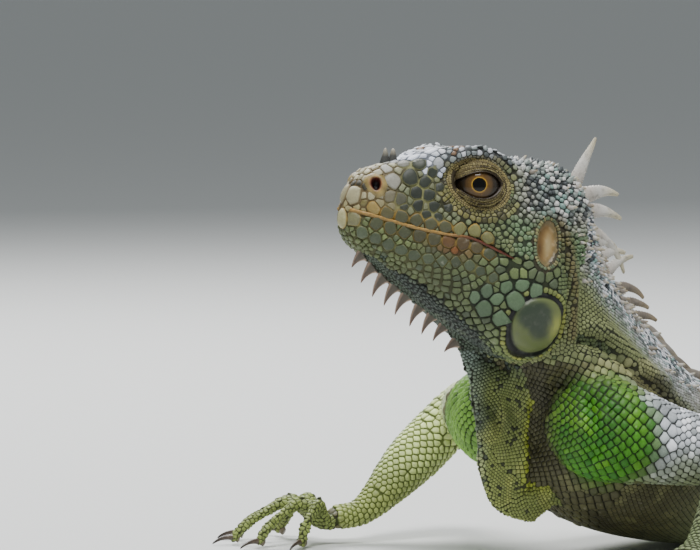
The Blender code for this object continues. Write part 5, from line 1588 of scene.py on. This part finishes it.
def turned(vector, axis, angle):
    return np.array(Matrix.Rotation(angle, 3, Vector(axis)) @ Vector(vector))


def horn(parts, root, direction, bend_axis, bend, length, base, tip, side_axis, wrinkle=0.0, sides=12, steps=14,
         taper=0.85):
    """Adds a bent, flattened cone to parts. base and tip are half sizes in the bend's plane and across it."""
    points, faces, along = parts["points"], parts["faces"], parts["along"]
    start, place, heading = len(points), np.array(root, float), unit(np.array(direction, float))
    side_axis = np.array(side_axis, float)
    phase = rng.random() * 6
    for i in range(steps + 1):
        share = i / steps
        size = [b + (t - b) * share**taper for b, t in zip(base, tip)]
        ripple = 1 + wrinkle * math.sin(share * length * 5200 + phase) * (0.3 + 0.7 * (1 - share))
        wide = unit(np.cross(side_axis, heading))
        for k in range(sides):
            turn = math.tau * k / sides
            uneven = 1 + wrinkle * 0.5 * math.sin(3 * turn + phase + share * 9)
            points.append(place + (wide * math.cos(turn) * size[0] + side_axis * math.sin(turn) * size[1])
                          * ripple * uneven)
            along.append(share)
            parts["front"].append(math.cos(turn))
            parts["pale"].append(parts["tone"])
        place = place + heading * length / steps
        heading = turned(heading, bend_axis, math.radians(bend) / steps)
    points.append(place)
    along.append(1.0)
    parts["front"].append(0.0)
    parts["pale"].append(parts["tone"])
    faces += [[start + i for i in face] for face in disc_faces(steps + 1, sides)]
    faces.append([start + k for k in reversed(range(sides))])


def new_parts():
    return {"points": [], "faces": [], "along": [], "front": [], "pale": [], "tone": 1.0}


def horn_piece(name, parts, material):
    looks = {key: parts[key] for key in ("along", "front", "pale")}
    piece = mesh_piece(name, parts["points"], parts["faces"], material, looks)


def crest():
    """Where each spine of the back stands: root, way to the left, direction, length, bend."""
    rows = [[*(row[:3] + row[3:6] * row[9]), *row[3:6]] for row in body_rows()]
    fine_rows = smooth_rows(rows, 12)
    reach = run_of(fine_rows[:, :3])
    end = reach[-1] - TAIL_LENGTH * (1 - TAIL_SPINES_END)
    first = at = NAPE_SPINES[0][0]
    found = []
    while at < end:
        row = points_at(at, reach, fine_rows)
        ahead = points_at(at + 0.002, reach, fine_rows[:, :3])
        tangent = unit(ahead - row[:3])
        left = unit(np.cross(tangent, row[3:]))
        if len(found) < len(NAPE_SPINES):
            _, length, lean, bend = NAPE_SPINES[len(found)]
        else:
            share = (at - first) / (end - first)
            length = BACK_SPINE_LENGTH + (RUMP_SPINE_LENGTH - BACK_SPINE_LENGTH) * share
            lean, bend = 62 - 24 * share, 34
        found.append((row[:3], left, turned(unit(np.cross(left, tangent)), left, math.radians(-lean)), length,
                      bend))
        at = NAPE_SPINES[len(found)][0] if len(found) < len(NAPE_SPINES) else at + BACK_SPACING
    return found


spine_material, spots = new_material("spine_horn", Specular_IOR_Level=0.5)
along, pale = attribute(spots, "along", "Fac"), attribute(spots, "pale", "Fac")
fibre, grime = spots.noise(1500, 3.0), spots.noise(500, 4.0)
light = along.through((0.0, 0.27, 0.19, 0.13), (0.16, 0.42, 0.37, 0.32), (0.55, 0.56, 0.54, 0.50),
                      (0.9, 0.52, 0.47, 0.33))
dark = along.through((0.0, 0.10, 0.09, 0.06), (0.5, 0.085, 0.055, 0.030), (1.0, 0.22, 0.15, 0.08))
horn_colour = dark.mixed(light, pale).mixed((0.10, 0.08, 0.06, 1), grime.ramped(0.5, 0.75, 0.0, 0.5))
finish_material(spine_material, horn_colour, 0.38 + 0.3 * fibre, fibre + grime, 0.45, 0.0002)

nape, back = new_parts(), new_parts()
for number, (spot, left, direction, length, bend) in enumerate(crest(), 1):
    root = np.array(skin_tree.find_nearest(Vector(spot))[0])
    on_nape = number <= len(NAPE_SPINES)
    parts = nape if on_nape else back
    parts["tone"] = 1.0 if number < BROWN_FROM else 0.18 + 0.25 * rng.random()
    if on_nape:
        base, tip = (NAPE_GIRTHS[number - 1], NAPE_GIRTHS[number - 1] * 0.6), (0.0006, 0.0004)
    else:
        base, tip = [half_size * min(1, 0.45 + length / 0.02) for half_size in (0.0036, 0.0021)], (0.0005, 0.0003)
    horn(parts, root - direction * SPINE_SINK, direction, left, -bend, length + SPINE_SINK, base, tip, left,
         *((0.14, 14, 40, 1.25) if on_nape else (0.04, 10, 9)))
horn_piece("nape_spines", nape, spine_material)
horn_piece("back_spines", back, spine_material)

spike_material, spots = new_material("spike_horn", Specular_IOR_Level=0.5)
along, front = attribute(spots, "along", "Fac"), attribute(spots, "front", "Fac")
fibre = spots.noise(1800, 3.0)
spike_colour = along.through((0.0, 0.085, 0.075, 0.052), (0.5, 0.115, 0.088, 0.068), (1.0, 0.16, 0.09, 0.06))
spike_colour = spike_colour.mixed((0.46, 0.33, 0.25, 1), (front * front).ramped(0.15, 0.75, 0.0, 0.8))
finish_material(spike_material, spike_colour, 0.35 + 0.3 * fibre, fibre, 0.4, 0.0002)
spikes = new_parts()
for place_along, length in FAN_SPIKES:
    edge_here = points_at(place_along, fan_along, fan_edge)
    root_here = points_at(place_along, fan_along, fan_root)
    tangent = unit(points_at(place_along + 0.001, fan_along, fan_edge) - edge_here)
    side_axis = unit(np.cross(edge_here - root_here, tangent))
    direction = unit(np.cross(tangent, side_axis) - tangent * 0.20)
    horn(spikes, edge_here - direction * SPIKE_SINK, direction, side_axis, 34, length + SPIKE_SINK,
         (0.0030, 0.0011), (0.00025, 0.0002), side_axis, 0.03, 12, 12, 0.6)
horn_piece("throat_spikes", spikes, spike_material)

horn_material, spots = new_material("snout_horn", Specular_IOR_Level=0.4)
along, fibre = attribute(spots, "along", "Fac"), spots.noise(1500, 3.0)
horn_colour = along.through((0.0, 0.030, 0.032, 0.030), (0.6, 0.055, 0.055, 0.050), (1.0, 0.34, 0.31, 0.24))
finish_material(horn_material, horn_colour, 0.45 + 0.3 * fibre, fibre, 0.4, 0.0002)
horns = new_parts()
upright = head_turn @ np.array((0.1, 0, 1))
side_axis = head_turn @ np.array((0, 1, 0))
for forward, length in SNOUT_HORNS:
    root = np.array(skin_tree.ray_cast(head_point(forward, 0, 0.05), -Vector(upright))[0])
    horn(horns, root - upright * HORN_SINK, upright, side_axis, 8, length + HORN_SINK, (0.0019, 0.0016),
         (0.0005, 0.0005), side_axis, 0.03, 12, 10, 1.2)
horn_piece("snout_horns", horns, horn_material)

# The saw and the tubercles --------------------------------------------
# The crest runs out along the tail as a low saw of flat teeth, and blunt pale cones stand among the granules
# of the nape. All are single horny scales, grown up from the skin and leaning back.


def growing_group(name, sides, tip, lean):
    """A tree that grows one leaning cone on each point, by the point's way, lie and girths."""
    group = bpy.data.node_groups.new(name, "GeometryNodeTree")
    group.is_modifier = True
    for label, kind_of, value in (("Geometry", "Geometry", None), ("Sides", "Int", sides), ("Tip", "Float", tip),
                                  ("Lean", "Float", lean), ("Material", "Material", None)):
        socket = group.interface.new_socket(label, in_out="INPUT", socket_type=f"NodeSocket{kind_of}")
        if value is not None:
            socket.default_value = value
    group.interface.new_socket("Geometry", in_out="OUTPUT", socket_type="NodeSocketGeometry")
    inputs = group.nodes.new("NodeGroupInput").outputs
    given = {label: Wire(group, inputs[label]) for label in ("Geometry", "Sides", "Tip", "Lean", "Material")}
    node = given["Geometry"].node

    def named(label):
        return node("GeometryNodeInputNamedAttribute", {"data_type": "FLOAT_VECTOR"}, {"Name": label},
                    "Attribute")

    cone = node("GeometryNodeMeshCone", {},
                {"Vertices": given["Sides"], "Side Segments": 4, "Radius Top": given["Tip"],
                                             "Radius Bottom": 1.0, "Depth": 1.0}, "Mesh")
    height = node("ShaderNodeSeparateXYZ", {}, {"Vector": node("GeometryNodeInputPosition", {}, {})}, "Z")
    leant = node("ShaderNodeCombineXYZ", {}, {"X": height * height * given["Lean"]})
    bent = node("GeometryNodeSetPosition", {}, {"Geometry": cone, "Offset": leant})
    stored = node("GeometryNodeStoreNamedAttribute", {"data_type": "FLOAT", "domain": "POINT"},
                  {"Geometry": bent, "Name": "along", "Value": height})
    upright_way = node("FunctionNodeAlignRotationToVector", {"axis": "Z"}, {"Vector": named("way")})
    facing = node("FunctionNodeAlignRotationToVector", {"axis": "X", "pivot_axis": "Z"},
                  {"Rotation": upright_way, "Vector": named("lie")})
    grown = node("GeometryNodeInstanceOnPoints", {}, {"Points": given["Geometry"], "Instance": stored,
                                                      "Rotation": facing, "Scale": named("girths")})
    real = node("GeometryNodeRealizeInstances", {}, {"Geometry": grown})
    smooth = node("GeometryNodeSetShadeSmooth", {}, {"Geometry": real})
    coloured = node("GeometryNodeSetMaterial", {}, {"Geometry": smooth, "Material": given["Material"]})
    group.links.new(coloured.socket, group.nodes.new("NodeGroupOutput").inputs[0])
    return group


def grown_piece(name, group, seats, ways, lies, girths, pale_shares, material, inputs):
    """Grows the group's cones on these seats and turns them into one plain mesh."""
    seat_mesh = bpy.data.meshes.new(name)
    seat_mesh.from_pydata((np.asarray(seats) + np.array(home)).tolist(), [], [])
    for key, values in (("way", ways), ("lie", lies), ("girths", girths)):
        store(seat_mesh, key, values, vectors=True)
    store(seat_mesh, "pale", pale_shares)
    store(seat_mesh, "front", np.zeros(len(seats)))
    piece = bpy.data.objects.new(name, seat_mesh)
    show(piece)
    modifier = piece.modifiers.new("grow", "NODES")
    modifier.node_group = group
    sockets = {item.name: item.identifier for item in group.interface.items_tree if item.in_out == "INPUT"}
    for label, value in {**inputs, "Material": material}.items():
        modifier[sockets[label]] = value
    grown = finished_mesh(piece)
    piece.modifiers.clear()
    piece.data = grown
    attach(piece, "root")
    return piece


cones = growing_group("grown_cones", 8, 0.25, 0.4)
tail_rows = smooth_rows(body_rows()[len(RIBS) - 1 :], 24)
tail_along = run_of(tail_rows[:, :3])
SAW_STEP, SAW_START, SAW_END = 0.0030, TAIL_LENGTH * TAIL_SPINES_END + 0.004, TAIL_LENGTH * 0.86
reaches = np.arange(SAW_START, SAW_END, SAW_STEP)
at_reach = points_at(reaches, tail_along, tail_rows)
seats = at_reach[:, :3] + at_reach[:, 3:6] * (at_reach[:, 9:10] - 0.0008)
lies = np.stack([at_reach[:, 7], -at_reach[:, 6], 0 * reaches], axis=1)
share = (reaches - SAW_START) / (SAW_END - SAW_START)
girths = np.stack([0.0017 - 0.0008 * share, 0.0007 - 0.0003 * share, 0.0040 - 0.0026 * share], axis=1)
grown_piece("tail_saw", cones, seats, unit(at_reach[:, 3:6] + 0.25 * lies), lies, girths,
            0.15 + 0.2 * rng.random(len(reaches)),
            spine_material, {"Sides": 8, "Tip": 0.12, "Lean": 0.9})
chance = rng.random(count)
chosen = np.nonzero(((kind == KIND_NAMES.index("thorny")) | (zone == "crown")) & (chance < 0.10) & (x > -0.030)
                    | (spine_side > 0.5) & (np.abs(x - 0.032) < 0.036) & (chance < 0.06))[0]
bulk, pale = rng.random(len(chosen))[:, None], rng.random(len(chosen))
grown_piece("nape_tubercles", cones, place[chosen] - normal[chosen] * 0.0003,
            unit(normal[chosen] + 0.35 * unit(lie[chosen])), lie[chosen],
            np.hstack([0.0008 + 0.0005 * bulk, 0.0007 + 0.0004 * bulk, 0.0015 + 0.0015 * bulk]),
            np.where(pale < 0.2, 0.3, 0.4 + 0.6 * pale),
            spine_material, {"Sides": 8, "Tip": 0.22, "Lean": 0.35})

# The claws ------------------------------------------------------------
# A curved, dark, hollow-ground horn at the end of each digit, set in the last scale over the bone.

CLAW_LENGTH, CLAW_SINK = 0.0068, 0.0022
CLAW_GIRTH, CLAW_TIP = (0.0014, 0.00112), (0.0003, 0.0003)
claw_material, spots = new_material("claw_horn", Coat_Weight=0.3, Coat_Roughness=0.2, Specular_IOR_Level=0.5)
along = attribute(spots, "along", "Fac")
streaks = spots.noise(900, 3.0)
claw_colour = along.through((0.0, 0.16, 0.13, 0.08), (0.4, 0.065, 0.042, 0.026), (1.0, 0.020, 0.014, 0.010))
claw_colour = claw_colour.mixed((0.20, 0.15, 0.09, 1), streaks.ramped(0.55, 0.8, 0, 0.5))
finish_material(claw_material, claw_colour, 0.25 + 0.25 * streaks, streaks, 0.2, 0.0002)
claws = new_parts()
for limbs, digits in ((FORELEGS, FINGERS), (HINDLEGS, TOES)):
    for limb in limbs:
        for path, direction in digit_paths(limb, digits):
            root = path[-1] - direction * CLAW_SINK + Vector((0, 0, 0.0004))
            side_axis = direction.cross(Vector((0, 0, 1))).normalized()
            one = new_parts()
            horn(one, root, direction + Vector((0, 0, 0.34)), side_axis, -58, CLAW_LENGTH + CLAW_SINK,
                 CLAW_GIRTH, CLAW_TIP, side_axis, 0.0, 12, 12)
            lifted = max(0.0001 - min(p[2] for p in one["points"]), 0)
            start = len(claws["points"])
            claws["points"] += [p + (0, 0, lifted) for p in one["points"]]
            claws["faces"] += [[start + i for i in face] for face in one["faces"]]
            for key in ("along", "front", "pale"):
                claws[key] += one[key]
horn_piece("claws", claws, claw_material)
